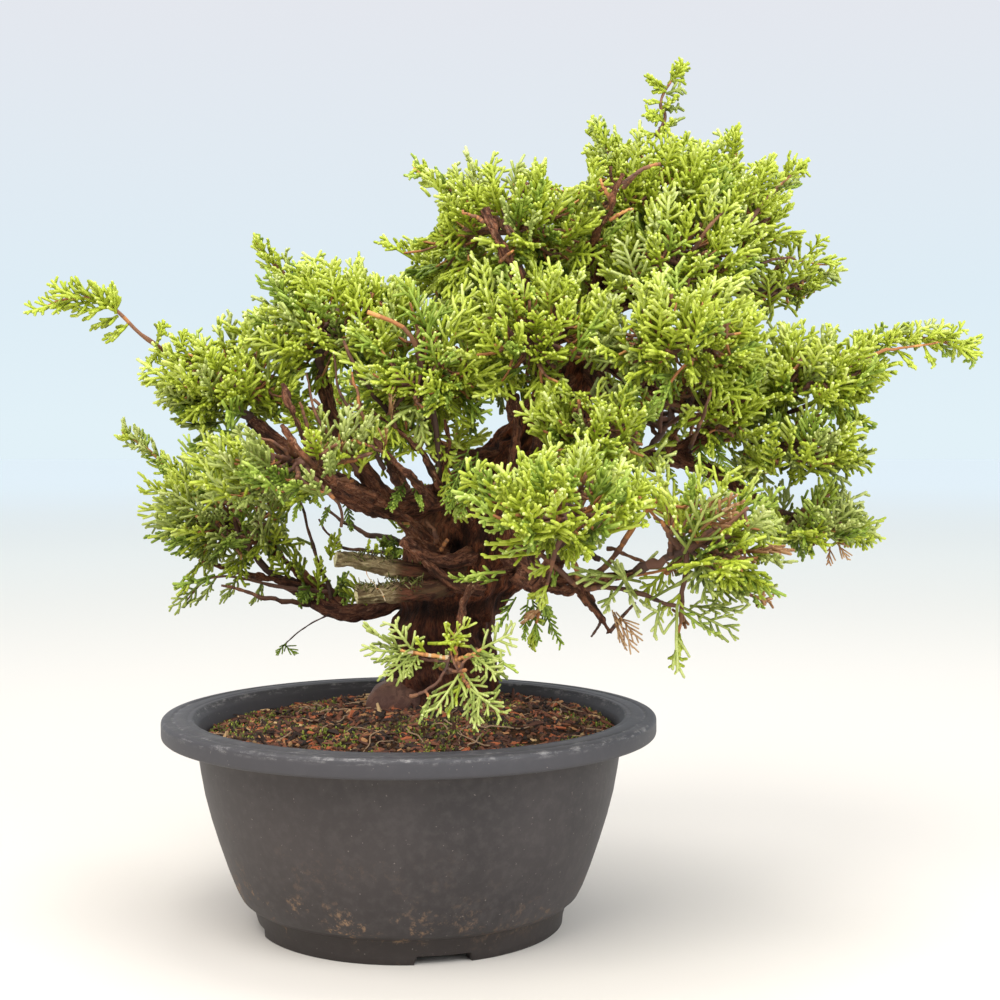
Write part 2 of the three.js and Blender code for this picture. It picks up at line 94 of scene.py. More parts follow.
def bezier(a, b, c, t):  # a (1-t)^2 + 2 b t (1-t) + c t^2, for arrays of curves and of t
    t = np.asarray(t)[..., None]
    return a * (1 - t) ** 2 + 2 * b * t * (1 - t) + c * t * t


def smoothLine(points, count):
    # A smooth line through the points, sampled evenly along its length. Knots lie the root of a span's
    # length apart. Straight lines through neighbouring points are blended in proportion to the knots, and
    # those blends twice more in the same way.
    p = np.asarray(points, float)
    p = np.vstack([2 * p[0] - p[1], p, 2 * p[-1] - p[-2]])
    knots = np.concatenate([[0], np.cumsum(np.sqrt(np.linalg.norm(np.diff(p, axis=0), axis=1)))])
    perSpan = 80
    t = np.linspace(knots[1], knots[-2], perSpan * (len(p) - 3) + 1)
    i = np.clip(np.searchsorted(knots, t, side="right") - 1, 1, len(p) - 3)
    k = [knots[i + j] for j in (-1, 0, 1, 2)]
    q = [p[i + j] for j in (-1, 0, 1, 2)]

    def between(a, b, ta, tb):
        return ((tb - t) / (tb - ta))[:, None] * a + ((t - ta) / (tb - ta))[:, None] * b

    a1, a2, a3 = (between(q[j], q[j + 1], k[j], k[j + 1]) for j in range(3))
    b1, b2 = between(a1, a2, k[0], k[2]), between(a2, a3, k[1], k[3])
    dense = between(b1, b2, k[1], k[2])
    length = np.concatenate([[0], np.cumsum(np.linalg.norm(np.diff(dense, axis=0), axis=1))])
    at = np.linspace(0, length[-1], count)
    return np.stack([np.interp(at, length, dense[:, axis]) for axis in range(3)], axis=1)


def roundOff(x, last):  # the nearest whole number from 0 to last
    return np.clip(np.floor(x + 0.5), 0, last).astype(int)


# Meshes

def ringFaces(rings, sides):  # quads between neighbouring rings
    a = np.arange(sides)
    b = (a + 1) % sides
    row = np.arange(rings - 1)[:, None] * sides
    return np.stack([row + a, row + b, row + sides + b, row + sides + a], axis=-1).reshape(-1, 4)


def poleFaces(sides, last, foot, head):
    # Triangles from the first ring to the point foot, and from the ring that starts at last to the head.
    a = np.arange(sides)
    b = (a + 1) % sides
    low = np.stack([np.full(sides, foot), b, a], axis=-1)
    return np.concatenate([low, np.stack([np.full(sides, head), last + a, last + b], axis=-1)])


def sweep(centres, radii, sides, blunt=0.5):
    # n tubes of k rings. Point = centre + radius (cos a across + sin a up), and each end closes on a pole.
    centres = np.asarray(centres, float)
    n, k = centres.shape[:2]
    radii = np.broadcast_to(np.asarray(radii, float).reshape(n, k, -1), (n, k, sides))
    tangent = unit(np.gradient(centres, axis=1))
    previous = np.where(np.abs(tangent[:, 0, 2:]) < 0.9, [[0.0, 0.0, 1.0]], [[1.0, 0.0, 0.0]])
    across = np.empty_like(centres)
    for ring in range(k):
        t = tangent[:, ring]
        previous = unit(previous - t * np.sum(previous * t, axis=-1, keepdims=True))
        across[:, ring] = previous
    up = np.cross(tangent, across)
    angle = 2 * math.pi * np.arange(sides) / sides
    spoke = np.cos(angle)[:, None] * across[:, :, None] + np.sin(angle)[:, None] * up[:, :, None]
    ringPoints = (centres[:, :, None] + radii[..., None] * spoke).reshape(n, k * sides, 3)
    first = centres[:, 0] - tangent[:, 0] * radii[:, 0].mean(-1, keepdims=True) * 0.2
    last = centres[:, -1] + tangent[:, -1] * radii[:, -1].mean(-1, keepdims=True) * blunt
    points = np.concatenate([ringPoints, first[:, None], last[:, None]], axis=1)
    quads, tris = ringFaces(k, sides), poleFaces(sides, (k - 1) * sides, k * sides, k * sides + 1)
    step = (np.arange(n) * (k * sides + 2))[:, None, None]
    return points.reshape(-1, 3), (quads + step).reshape(-1, 4), (tris + step).reshape(-1, 3)


def makePiece(name, points, faces, looks, replaced=(), lookOfFace=None, smooth=True, values=None):
    # The points in millimetres about the pot's axis, and faces as arrays of quads and of triangles.
    faces = [f for f in faces if len(f)]
    mesh = bpy.data.meshes.new(name)
    place = (np.asarray(points, float) * 0.001 + potAxis).astype(np.float32)
    mesh.vertices.add(len(place))
    mesh.vertices.foreach_set("co", place.ravel())
    corners = np.concatenate([f.ravel() for f in faces]).astype(np.int32)
    sizes = np.concatenate([np.full(len(f), f.shape[1]) for f in faces])
    mesh.loops.add(len(corners))
    mesh.loops.foreach_set("vertex_index", corners)
    mesh.polygons.add(len(sizes))
    mesh.polygons.foreach_set("loop_start", (np.cumsum(sizes) - sizes).astype(np.int32))
    if lookOfFace is not None:
        mesh.polygons.foreach_set("material_index", np.asarray(lookOfFace, np.int32))
    mesh.polygons.foreach_set("use_smooth", np.full(len(sizes), smooth))
    for key, value in (values or {}).items():
        kind = "FLOAT_VECTOR" if np.ndim(value) == 2 else "FLOAT"
        layer = mesh.attributes.new(key, kind, "POINT")
        key = "vector" if kind == "FLOAT_VECTOR" else "value"
        layer.data.foreach_set(key, np.asarray(value, np.float32).ravel())
    mesh.update(calc_edges=True)
    piece = bpy.data.objects.new(name, mesh)
    bpy.context.scene.collection.objects.link(piece)
    for look in looks:
        mesh.materials.append(look)
    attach(piece, "root")
    if replaced:
        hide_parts(*replaced)
    print(f"{name}: {int((sizes - 2).sum())} triangles")
    return piece


# Materials

def srgb(r, g, b):  # a display colour from 0 to 255 as linear values
    c = np.array([r, g, b]) / 255
    c = np.where(c <= 0.04045, c / 12.92, ((c + 0.055) / 1.055) ** 2.4)
    return (*[float(v) for v in c], 1.0)


class Wire:
    # A socket whose arithmetic adds Math nodes to its tree.
    def __init__(self, paint, socket):
        self.paint = paint
        self.socket = socket

    def maths(self, operation, a, b):
        return self.paint.node("ShaderNodeMath", {"operation": operation}, {0: a, 1: b})

    def __add__(self, other): return self.maths("ADD", self, other)
    def __mul__(self, other): return self.maths("MULTIPLY", self, other)
    def __sub__(self, other): return self.maths("SUBTRACT", self, other)
    def __rsub__(self, other): return self.maths("SUBTRACT", other, self)
    __radd__, __rmul__ = __add__, __mul__

    def ramp(self, low, high):  # 0 below low, 1 above high, smooth between
        kind = {"interpolation_type": "SMOOTHSTEP"}
        return self.paint.node("ShaderNodeMapRange", kind, {0: self, 1: low, 2: high})


class Paint:
    # One material: its nodes come from node(), and its colours are laid over each other by mix().
    def __init__(self, name, **shader):
        self.material = bpy.data.materials.new(name)
        self.material.use_nodes = True
        self.tree = self.material.node_tree
        self.shader = self.tree.nodes["Principled BSDF"]
        self.feed(self.shader, shader)

    def feed(self, node, values):
        for key, value in values.items():
            socket = node.inputs[key.replace("_", " ") if isinstance(key, str) else key]
            if isinstance(value, Wire):
                self.tree.links.new(value.socket, socket)
            else:
                socket.default_value = value

    def node(self, kind, settings=None, values=None, output=0):
        node = self.tree.nodes.new(kind)
        for key, value in (settings or {}).items():
            setattr(node, key, value)
        self.feed(node, values or {})
        return Wire(self, node.outputs[output])

    def place(self):
        return self.node("ShaderNodeTexCoord", output="Object")

    def value(self, name, output="Fac"):
        return self.node("ShaderNodeAttribute", {"attribute_name": name}, output=output)

    def stretch(self, vector, scale):
        return self.node("ShaderNodeMapping", {}, {"Vector": vector, "Scale": scale})

    def noise(self, vector, scale, detail=3.0, roughness=0.55, distortion=0.0):
        values = {"Vector": vector, "Scale": scale, "Detail": detail, "Roughness": roughness}
        return self.node("ShaderNodeTexNoise", {}, {**values, "Distortion": distortion})

    def mix(self, factor, a, b):
        return self.node("ShaderNodeMix", {"data_type": "RGBA"}, {0: factor, 6: a, 7: b}, output=2)

    def part(self, vector, axis):
        return self.node("ShaderNodeSeparateXYZ", {}, {0: vector}, output=axis)

    def finish(self, colour, height, strength, distance, **shader):  # the base colour and the bump's height
        bump = {"Height": height, "Strength": strength, "Distance": distance}
        normal = self.node("ShaderNodeBump", {}, bump)
        self.feed(self.shader, {"Base_Color": colour, "Normal": normal, **shader})
        return self.material


def plainLook(name, colour, roughness, **shader):  # a plain base colour, as a kind of leaf or chip has
    return Paint(name, Base_Color=colour, Roughness=roughness, **shader).material


# The camera stands where the photograph was taken from
view = {"place": (36.56, -701.6, 202.9), "pitch": 2.54, "lens": 62.32, "sensor": 36, "picture": 1000}
camera = bpy.data.objects.new("camera", bpy.data.cameras.new("camera"))
camera.data.lens = view["lens"]
camera.data.sensor_width = view["sensor"]
camera.data.clip_start = 0.01
camera.location = np.array(view["place"]) * 0.001 + potAxis
camera.rotation_euler = (math.radians(90 - view["pitch"]), 0, 0)
bpy.context.scene.collection.objects.link(camera)
bpy.context.scene.camera = camera


# Limbs: the lines of the trunk and boughs, as in the solids but for the hanging bough and the stubs, which
# lie a little nearer to where the photograph shows them. A bough's row: its parent, the share of the
# parent's length where it starts, a point on its way, its end, and its radius at both ends.
trunkLine = np.array([
    [11, 38, 76], [11, 38, 88], [12, 36, 102], [12, 34, 117], [15, 33, 128], [21, 30, 140],
    [28, 28, 154], [38, 26, 170], [51, 24, 192], [69, 22, 223], [78, 20, 254], [83, 16, 278],
], float)
trunkRadii = np.array([26, 24, 21.5, 22.5, 21, 26, 29, 24, 15, 9.5, 5.6, 3.4])
boughPlans = {
    "bough_left_low": ("trunk", 0.31, [-30, 44, 121], [-58, 54, 134], 6.6, 4),
    "bough_left_mid": ("trunk", 0.52, [-8, 4, 169], [-38, -14, 184], 7.6, 4.6),
    "bough_left_far": ("bough_left_mid", 0.97, [-50, -15, 194], [-62, -15, 204], 3.8, 2.6),
    "bough_left_top": ("bough_left_mid", 0.62, [-30, -6, 204], [-35, -5, 222], 3.8, 2.7),
    "bough_centre_left": ("trunk", 0.56, [13, 2, 190], [8, -12, 203], 5, 3),
    "bough_upper_left": ("trunk", 0.68, [50, 2, 232], [45, -5, 262], 4.6, 3),
    "bough_centre_upper": ("trunk", 0.74, [60, 4, 216], [55, -9, 222], 3, 2.2),
    "bough_right_back": ("trunk", 0.66, [101, 34, 187], [127, 24, 200], 5.4, 3),
    "bough_right_mid": ("bough_right_back", 0.97, [134, 10, 198], [140, 0, 195], 2.8, 2.1),
    "bough_right_low": ("bough_right_back", 0.72, [128, 16, 181], [144, 4, 170], 3, 2.2),
    "bough_right_far": ("trunk", 0.8, [112, 8, 213], [140, -4, 215], 4.8, 3),
    "bough_top_right": ("trunk", 0.88, [102, 18, 256], [119, 18, 270], 3.8, 2.6),
    "bough_right_upper": ("bough_top_right", 0.55, [124, 25, 257], [142, 31, 259], 2.5, 2),
    "bough_right_front": ("trunk", 0.77, [82, -6, 214], [92, -30, 221], 3.8, 2.6),
    "bough_centre_front": ("trunk", 0.66, [62, -4, 186], [68, -26, 191], 3.4, 2.4),
    "bough_front_pad": ("trunk", 0.42, [50, -26, 140], [58, -62, 153], 5.6, 3.4),
    "bough_front_pad_right": ("bough_front_pad", 0.78, [74, -62, 145], [86, -72, 149], 3, 2.2),
    "bough_hanging": ("bough_front_pad", 0.4, [25.5, -51, 141], [20.5, -73, 124], 2, 1.6),
    "bough_right_inner": ("bough_right_far", 0.5, [112, 0, 210], [113, -7, 211], 2.8, 2.2),
    "bough_upper_right": ("trunk", 0.9, [92, 8, 259], [101, -1, 261], 3, 2.3),
    "bough_back_upper_left": ("trunk", 0.83, [48, 34, 246], [27, 45, 260], 3.4, 2.3),
    "bough_back_left": ("trunk", 0.48, [0, 62, 166], [-12, 80, 182], 5, 3),
    "bough_back_centre": ("trunk", 0.67, [44, 54, 204], [42, 70, 214], 4.4, 2.8),
    "bough_back_right": ("trunk", 0.6, [78, 54, 182], [98, 68, 189], 5, 3),
    "bough_back_top": ("trunk", 0.86, [84, 36, 252], [89, 48, 260], 3.2, 2.2),
    "bough_back_low": ("trunk", 0.4, [24, 66, 140], [22, 82, 146], 4, 2.6),
}
stubPlans = {
    "stub_upper": ("trunk", 0.39, [14, -2, 142.5], [-29, -12, 149], 4.8, 2.7),
    "stub_lower": ("trunk", 0.335, [14, -5, 137], [-20.5, -15, 134.6], 5, 3.2),
}

# Thicker twigs with bark between the boughs and the masses: points from tip to base, and radii at both
roughTwigs = [
    ([[-13.6, -7, 174.1], [-5.6, -8, 168.9], [2.4, -7, 162.5], [12.2, -1, 152.4]], 1.1, 1.5),
    ([[83.8, -32, 298.5], [80.4, -31, 290.6], [78.7, -28, 283.7], [74.5, -20, 277.7],
      [72.6, -4, 267.5]], 0.85, 1.3),
    ([[77.1, -66, 126.0], [72.7, -65, 132.9], [69.9, -63, 136.4], [66.3, -60, 141.7]], 0.8, 2.0),
    ([[66.3, -60, 141.7], [60.4, -50, 140.0], [52.0, -34, 140.4], [43.0, -12, 141.1]], 1.9, 2.4),
    ([[-43.8, -64, 202.3], [-37.5, -64, 193.0], [-27.3, -54, 182.4], [-13.1, -30, 174.3]], 0.6, 1.5),
    ([[-12.7, -34, 207.2], [-2.9, -32, 200.3], [6.9, -26, 190.1], [13.2, -16, 177.3],
      [24.4, -2, 165.4]], 0.7, 2.3),
    ([[-13.7, -42, 200.3], [-7.9, -38, 191.9], [0.9, -30, 183.2], [9.5, -14, 172.4]], 0.6, 2),
    ([[-45.6, -48, 217.7], [-42.5, -46, 208.7], [-37.5, -40, 195.7], [-30.2, -30, 183.2],
      [-21.9, -18, 176.6]], 0.8, 2.6),
    ([[-64.1, -36, 193.4], [-52.1, -34, 187.2], [-38.2, -28, 180.8], [-21.9, -18, 175.8]], 0.7, 2),
    ([[15.1, -26, 204.2], [16.6, -24, 194.0], [13.3, -18, 183.7], [10.9, -8, 173.0]], 0.8, 1.7),
    ([[41.7, -22, 215.1], [43.2, -20, 205.0], [42.5, -14, 193.9], [41.4, -6, 183.3]], 0.9, 2.2),
    ([[55.4, -20, 212.0], [54.0, -16, 202.6], [50.2, -8, 191.4], [46.3, 0, 179.9]], 0.8, 2),
    ([[113.0, -4, 205.8], [107.8, 0, 199.4], [103.2, 2, 191.2], [97.9, 6, 184.6]], 0.9, 2.2),
    ([[143.0, -18, 211.3], [135.0, -14, 204.2], [125.5, -8, 197.0], [115.2, 0, 193.7]], 0.8, 1.8),
    ([[-1.3, -20, 156.9], [6.3, -14, 150.1], [14.9, -8, 147.2], [24.3, 2, 148.9]], 1.6, 3),
    ([[4.0, -16, 151.8], [11.0, -12, 143.5], [19.6, -6, 137.4], [28.4, 2, 135.0]], 1.4, 2.6),
    ([[-4.0, -14, 163.7], [1.4, -12, 158.7], [7.6, -8, 152.9], [14.7, -2, 150.0]], 0.9, 1.9),
    ([[-85.0, 54, 157.2], [-67.8, 56, 149.1], [-50.8, 52, 138.0], [-30.4, 44, 124.8]], 0.8, 1.9),
    ([[-72.1, 56, 162.3], [-57.5, 54, 143.1], [-40.8, 48, 129.2]], 0.7, 1.5),
    ([[-95.4, 58, 142.8], [-79.3, 56, 137.7], [-63.0, 52, 135.0], [-48.1, 48, 132.3]], 0.6, 1.4),
    ([[30.4, -34, 284.9], [33.5, -34, 278.4], [36.6, -32, 271.8], [41.2, -28, 263.0],
      [45.9, -22, 254.2]], 1.4, 2.1),
]

limbLines = {}   # name: points along the limb
limbRadii = {}   # name: radius at each of those points
trunkPoints = 321
limbPoints = 81


def pointAt(name, share):  # the place and the direction at a share of a limb's length
    line = limbLines[name]
    at = share * (len(line) - 1)
    steps = np.arange(len(line))
    point = np.array([np.interp(at, steps, line[:, axis]) for axis in range(3)])
    before = np.array([np.interp(at - 1, steps, line[:, axis]) for axis in range(3)])
    after = np.array([np.interp(at + 1, steps, line[:, axis]) for axis in range(3)])
    return point, unit(after - before)


def planLimbs():
    line = smoothLine(trunkLine, trunkPoints)
    marks = [int(np.argmin(np.linalg.norm(line - p, axis=1))) for p in trunkLine]
    limbLines["trunk"] = line
    limbRadii["trunk"] = np.interp(np.arange(trunkPoints), marks, trunkRadii)
    for name, (parent, share, via, tip, first, last) in {**boughPlans, **stubPlans}.items():
        limbLines[name] = smoothLine([pointAt(parent, share)[0], via, tip], limbPoints)
        limbRadii[name] = np.linspace(first, last, limbPoints)


planLimbs()


def clearOfLimbs(points, margin=0.0):
    # True where a point is further from every limb's line than the limb's radius and the margin.
    clear = np.ones(len(points), bool)
    for name, line in limbLines.items():
        every = 16 if name == "trunk" else 10
        spots, sizes = line[::every], limbRadii[name][::every]
        a, ab = spots[:-1], np.diff(spots, axis=0)
        offset = points[:, None] - a
        t = np.clip(np.sum(offset * ab, axis=-1) / np.sum(ab * ab, axis=-1), 0, 1)
        distance = np.linalg.norm(offset - t[..., None] * ab, axis=-1)
        clear &= np.all(distance > sizes[:-1] + margin, axis=1)
    return clear


# Wood: the trunk and boughs with the bark's relief
wood = {
    "trunkSides": 210, "trunkRings": 300, "boughSides": 24, "boughRings": 76,
    "twigSides": 14, "twigRings": 56, "stubSides": 48, "stubRings": 90,
    "stripWidth": 3.2, "stripLength": 18.0, "stripDepth": 1.5, "plateSize": 5.5, "plateDepth": 1.3,
    "lumpSize": 15, "lumpDepth": 3.4, "warpSize": 7, "warp": 2.5, "twist": 0.012, "flareReach": 9,
    # the radius of a limb with full relief, and the least share that a thin one keeps
    "fullRadius": 18, "leastRelief": 0.22,
    # place, radius and depth of each hollow, and of each swelling below zero
    "dents": [
        ([16, -1, 151], 6.5, 12.0), ([21, -2, 156], 5.0, 8.0), ([12, 0, 157], 4.0, 5.0),
        ([30, -4, 150], 5.0, 5.0), ([26, -3, 163], 4.0, 4.0), ([14, 2, 170], 4.0, 3.5), ([4, 10, 160], 9, -3.5),
        ([0, 14, 146], 8, -2.5),
        ([42, 4, 150], 11, -3.0), ([34, -2, 172], 8, -2.5), ([10, 4, 180], 7, -2.5), ([-6, 22, 112], 8, -2.0),
        ([30, 14, 122], 8, -2.5), ([60, 8, 200], 5, -2.0), ([56, 10, 196], 3.0, 3.0), ([4, 12, 91], 5.0, 5.0),
        ([24, 10, 98], 6, 2.5), ([44, 2, 162], 4.5, 4.0), ([38, 0, 140], 6, 3.5), ([68, 12.5, 225], 2.6, 3.0),
    ],
    # the middle and reach of the burl's pale patch: its tan bark lightened with painted light
    "paleLitBurl": [-2, -3, 157], "paleLitBurlReach": 14,
    "slimmed": {"bough_front_pad_right": 0.6, "bough_left_low": 0.74, "bough_hanging": 0.7},
    # height, half width and depth of each groove round the trunk
    "grooves": [(128.0, 4.6, 3.2), (112.0, 2.6, 1.8), (101.0, 2.2, 1.3), (141.5, 2.0, 1.8)],
}


def barkSkin(line, radii, sides, rings, seed, flare=0.0, rough=1.0, dents=(), grooves=()):
    # A tube along the limb. Its radius is the limb's, plus strips, plates and lumps from value noise on
    # the unrolled cylinder (r cos a, r sin a, length), less each dent's depth exp(-(d / radius)^2) and each
    # groove's depth exp(-((height - middle) / width)^2), with its height made wavy by noise.
    count = len(line)
    at = np.linspace(0, count - 1, rings)
    centre = np.stack([np.interp(at, np.arange(count), line[:, axis]) for axis in range(3)], axis=1)
    radius = np.interp(at, np.arange(count), radii)
    along = np.concatenate([[0], np.cumsum(np.linalg.norm(np.diff(centre, axis=0), axis=1))])
    radius = radius * (1 + flare * np.exp(-along / wood["flareReach"]))
    angle = 2 * math.pi * np.arange(sides) / sides
    size = radius[:, None] * np.ones(sides)
    twist = angle + wood["twist"] * along[:, None]
    flat = np.stack([size * np.cos(twist), size * np.sin(twist), along[:, None] * np.ones(sides)], axis=-1)
    fine = np.clip(radius / wood["fullRadius"], wood["leastRelief"], 1)[:, None]
    squeeze = [1, 1, wood["stripWidth"] / wood["stripLength"]]
    warp = np.stack([valueNoise(flat, wood["warpSize"], seed + k) - 0.5 for k in range(3)], axis=-1)
    warp = wood["warp"] * fine[..., None] * warp
    strip = valueNoise((flat + warp) * squeeze, wood["stripWidth"] * np.maximum(fine, 0.45)[..., None], seed)
    ridge = 1 - np.abs(2 * strip - 1)
    plate = valueNoise((flat + warp) * [1, 1, 0.4], wood["plateSize"] * fine[..., None], seed + 5)
    plate = smoothStep(0.45, 0.6, plate)
    lump = valueNoise(flat, wood["lumpSize"] * np.maximum(fine, 0.3)[..., None], seed + 9) - 0.5
    size = size + rough * fine * (wood["stripDepth"] * (ridge - 0.5) + wood["plateDepth"] * (plate - 0.5))
    size = size + rough * fine * wood["lumpDepth"] * lump
    shade = 1 - ridge * (0.5 + 0.5 * plate)
    points, quads, tris = sweep(centre[None], size[None], sides, blunt=0.35)
    grid = points[:-2].reshape(rings, sides, 3)
    outward = unit(grid - centre[:, None])
    # Painted shade: each hollow and groove darkens the bark by its depth
    hollowShade = np.zeros((rings, sides))
    for spot, reach, depth in dents:
        near = np.exp(-(np.linalg.norm(grid - np.array(spot, float), axis=-1) / reach) ** 2)
        ragged = 0.7 + 0.6 * valueNoise(grid, 3.2, seed + 12)
        grid = grid - outward * (near * depth * ragged)[..., None]
        hollowShade = np.maximum(hollowShade, near * np.clip(depth, 0, 6) / 6)
    for middle, width, depth in grooves:
        height = grid[..., 2] + 12.0 * (valueNoise(grid, 12, 3 + middle) - 0.5) - 0.10 * (grid[..., 0] - 15)
        groove = np.exp(-((height - middle) / width) ** 2)
        groove = groove * smoothStep(0.15, 0.5, valueNoise(grid, 18, middle) + depth / 9)
        grid = grid - outward * (groove * depth)[..., None]
        hollowShade = np.maximum(hollowShade, 0.2 * depth * groove)
    points[:-2] = grid.reshape(-1, 3)
    flat = np.concatenate([flat.reshape(-1, 3), [[0, 0, 0], [0, 0, along[-1]]]])
    shade = np.concatenate([shade.ravel(), [0.5, 0.5]])
    hollowShade = np.concatenate([hollowShade.ravel(), [0, 0]])
    return points, quads, tris, flat, shade, hollowShade


def joinParts(parts):  # lists of (points, quads, tris, value arrays ...) as one set of arrays
    count = 0
    quads, tris = [], []
    for part in parts:
        quads.append(part[1] + count)
        tris.append(part[2] + count)
        count += len(part[0])
    rest = [np.concatenate([part[i] for part in parts]) for i in range(3, len(parts[0]))]
    return [np.concatenate([part[0] for part in parts]), np.concatenate(quads), np.concatenate(tris), *rest]


def barkPaint(name, base, ridgeColour, cleft, pale, mossy=False):
    paint = Paint(name, Roughness=0.8, Specular_IOR_Level=0.25)
    grain = paint.value("grain", "Vector")
    across, height = [paint.part(paint.place(), axis) for axis in (0, 2)]
    strips = paint.noise(paint.stretch(grain, (0.6, 0.6, 0.12)), 1.0, 7, 0.7, 0.9)
    flakes = paint.noise(paint.stretch(grain, (1.3, 1.3, 0.5)), 1.0, 6, 0.7, 0.5)
    broad = paint.noise(grain, 0.07, 3, 0.6)
    colour = paint.mix(strips.ramp(0.44, 0.58), base, ridgeColour)
    colour = paint.mix(flakes.ramp(0.54, 0.62) * (0.35 + 0.5 * broad.ramp(0.42, 0.62)), colour, pale)
    if mossy:
        green = paint.noise(grain, 0.22, 4).ramp(0.5, 0.62)
        colour = paint.mix(green * 0.6, colour, srgb(112, 106, 56))
        inner = (across + 0.006 * strips).ramp(float(potAxis[0]) - 0.006, float(potAxis[0]) + 0.002)
        bark = paint.mix(strips.ramp(0.44, 0.58), srgb(66, 38, 28), srgb(122, 74, 52))
        colour = paint.mix(inner, colour, bark)
    colour = paint.mix(flakes.ramp(0.36, 0.47) * -0.8 + 0.8, colour, cleft)
    colour = paint.mix(paint.value("shade").ramp(0.45, 0.85) * 0.8, colour, cleft)
    # Painted shade: darker below 112 to 138 mm, under the trunk's swelling and the crown
    colour = paint.mix((1 - height.ramp(0.112, 0.138)) * 0.55, colour, srgb(56, 27, 21))
    # The burl's pale patch: its own tan bark, with painted light on it
    paleLitBurl = paint.value("paleLitBurl") * (0.3 + 0.6 * flakes.ramp(0.42, 0.56))
    colour = paint.mix(paleLitBurl, colour, srgb(168, 124, 92))
    # Painted shade, near black, in the hollows, the grooves and where the root lobe meets the trunk
    hollowShade = paint.value("hollowShade").ramp(0.1, 0.8) * (0.75 + 0.25 * strips)
    colour = paint.mix(hollowShade, colour, srgb(13, 8, 7))
    return paint.finish(colour, strips * 0.5 + flakes * 0.8, 1.0, 0.0022)


def makeGrains(name, centres, radii, sides, blunt, kinds, rng, smooth=True):
    # Many small tubes of three rings, each of one plain colour, which is drawn by the colours' shares.
    points, quads, tris = sweep(centres, radii, sides, blunt)
    looks = [plainLook(f"{kinds['look']}{i}", srgb(*colour), kinds["roughness"])
             for i, (colour, share) in enumerate(kinds["colours"])]
    kind = rng.choice(len(looks), len(centres), p=[share for colour, share in kinds["colours"]])
    lookOfFace = np.repeat(np.concatenate([kind, kind]), 2 * sides)
    makePiece(name, points, [quads, tris], looks, lookOfFace=lookOfFace, smooth=smooth)


stubShoots = {
    "tried": 900, "sides": 4, "radii": [0.26, 0.24, 0.12], "height": (1.2, 3.6),
    "look": "stubMoss", "roughness": 0.9,
    "colours": [((96, 100, 40), 0.4), ((126, 128, 60), 0.25), ((84, 68, 42), 0.2), ((150, 138, 92), 0.15)],
}


def stubMoss(points):
    # Short tangled shoots that stand on the stubs' upper sides: centre(t) = root + lean t, each thinner at its
    # tip. A root counts as on the upper side where it lies above its stub's middle line.
    rng = np.random.default_rng(31)
    tried = stubShoots["tried"]
    top = points[(points[:, 0] > -21) & (points[:, 0] < 6) & (points[:, 1] < 0)]
    root = top[rng.integers(0, len(top), tried)] + rng.normal(0, 0.3, (tried, 3))
    middle = np.where(root[:, 2] > 141.5, 146.0 - 0.07 * root[:, 0], 135.4)
    root = root[root[:, 2] > middle + 0.6]
    n = len(root)
    lean = unit(np.stack([rng.normal(0, 0.8, n), rng.normal(-0.2, 0.8, n), np.full(n, 0.7)], axis=1))
    tall = rng.uniform(*stubShoots["height"], n)[:, None, None]
    centres = root[:, None] + lean[:, None] * tall * np.array([-0.1, 0.6, 1.0])[:, None]
    radii = np.broadcast_to(stubShoots["radii"], (n, 3))
    makeGrains("stubMoss", centres, radii, stubShoots["sides"], 0.5, stubShoots, rng)


# The lobe of root at the trunk's left foot: a lumpy ball
lobe = {
    "middle": np.array([-6, 25, 82]), "half": [15.0, 12.5, 14.0], "rings": 40, "sides": 60, "pole": 0.06,
    "lumps": 0.24, "lumpSize": 0.6,
}


def lobeSkin():
    # Point = middle + half sizes times the direction times (1 + lumps times noise), closed by two poles.
    rings, sides, pole, middle = lobe["rings"], lobe["sides"], lobe["pole"], lobe["middle"]
    theta, phi = np.meshgrid(
        np.linspace(pole, math.pi - pole, rings), 2 * math.pi * np.arange(sides) / sides, indexing="ij")
    ball = np.stack([np.sin(theta) * np.cos(phi), np.sin(theta) * np.sin(phi), np.cos(theta)], axis=-1)
    lumps = 1 + lobe["lumps"] * (valueNoise(ball, lobe["lumpSize"], 4)[..., None] - 0.5)
    points = (ball * lobe["half"] * lumps + middle).reshape(-1, 3)
    tip = [0, 0, lobe["half"][2]]
    points = np.concatenate([points, [middle + tip], [middle - tip]])
    count = rings * sides
    quads = ringFaces(rings, sides)[:, ::-1]
    tris = poleFaces(sides, count - sides, count, count + 1)[:, [0, 2, 1]]
    # Painted shade on the side where the lobe meets the trunk
    trunkSideShade = smoothStep(-2.0, 6.0, points[:, 0] - 0.25 * (points[:, 2] - middle[2]))
    return points, quads, tris, points * [1, 1, 0.4], np.full(len(points), 0.35), trunkSideShade


def lobePaint():
    paint = Paint("rootSkin", Roughness=0.6, Specular_IOR_Level=0.35)
    place = paint.place()
    blotch = paint.noise(place, 120, 4)
    colour = paint.mix(blotch.ramp(0.35, 0.65), srgb(88, 59, 45), srgb(124, 88, 68))
    flakes = paint.noise(place, 340, 5, 0.7, 0.8)
    colour = paint.mix(flakes.ramp(0.5, 0.58) * 0.7, colour, srgb(68, 42, 31))
    colour = paint.mix(0.8 - 0.8 * paint.part(place, 2).ramp(0.083, 0.096), colour, srgb(78, 45, 37))
    # painted shade where the lobe meets the trunk
    colour = paint.mix(paint.value("hollowShade"), colour, srgb(14, 8, 7))
    return paint.finish(colour, blotch * 0.5 + flakes, 0.7, 0.001)


def sawnPaint():
    paint = Paint("sawnWood", Roughness=0.8)
    rings = paint.noise(paint.place(), 900, 3)
    colour = paint.mix(rings.ramp(0.35, 0.7), srgb(184, 170, 120), srgb(222, 212, 164))
    return paint.finish(colour, rings, 0.4, 0.0004)


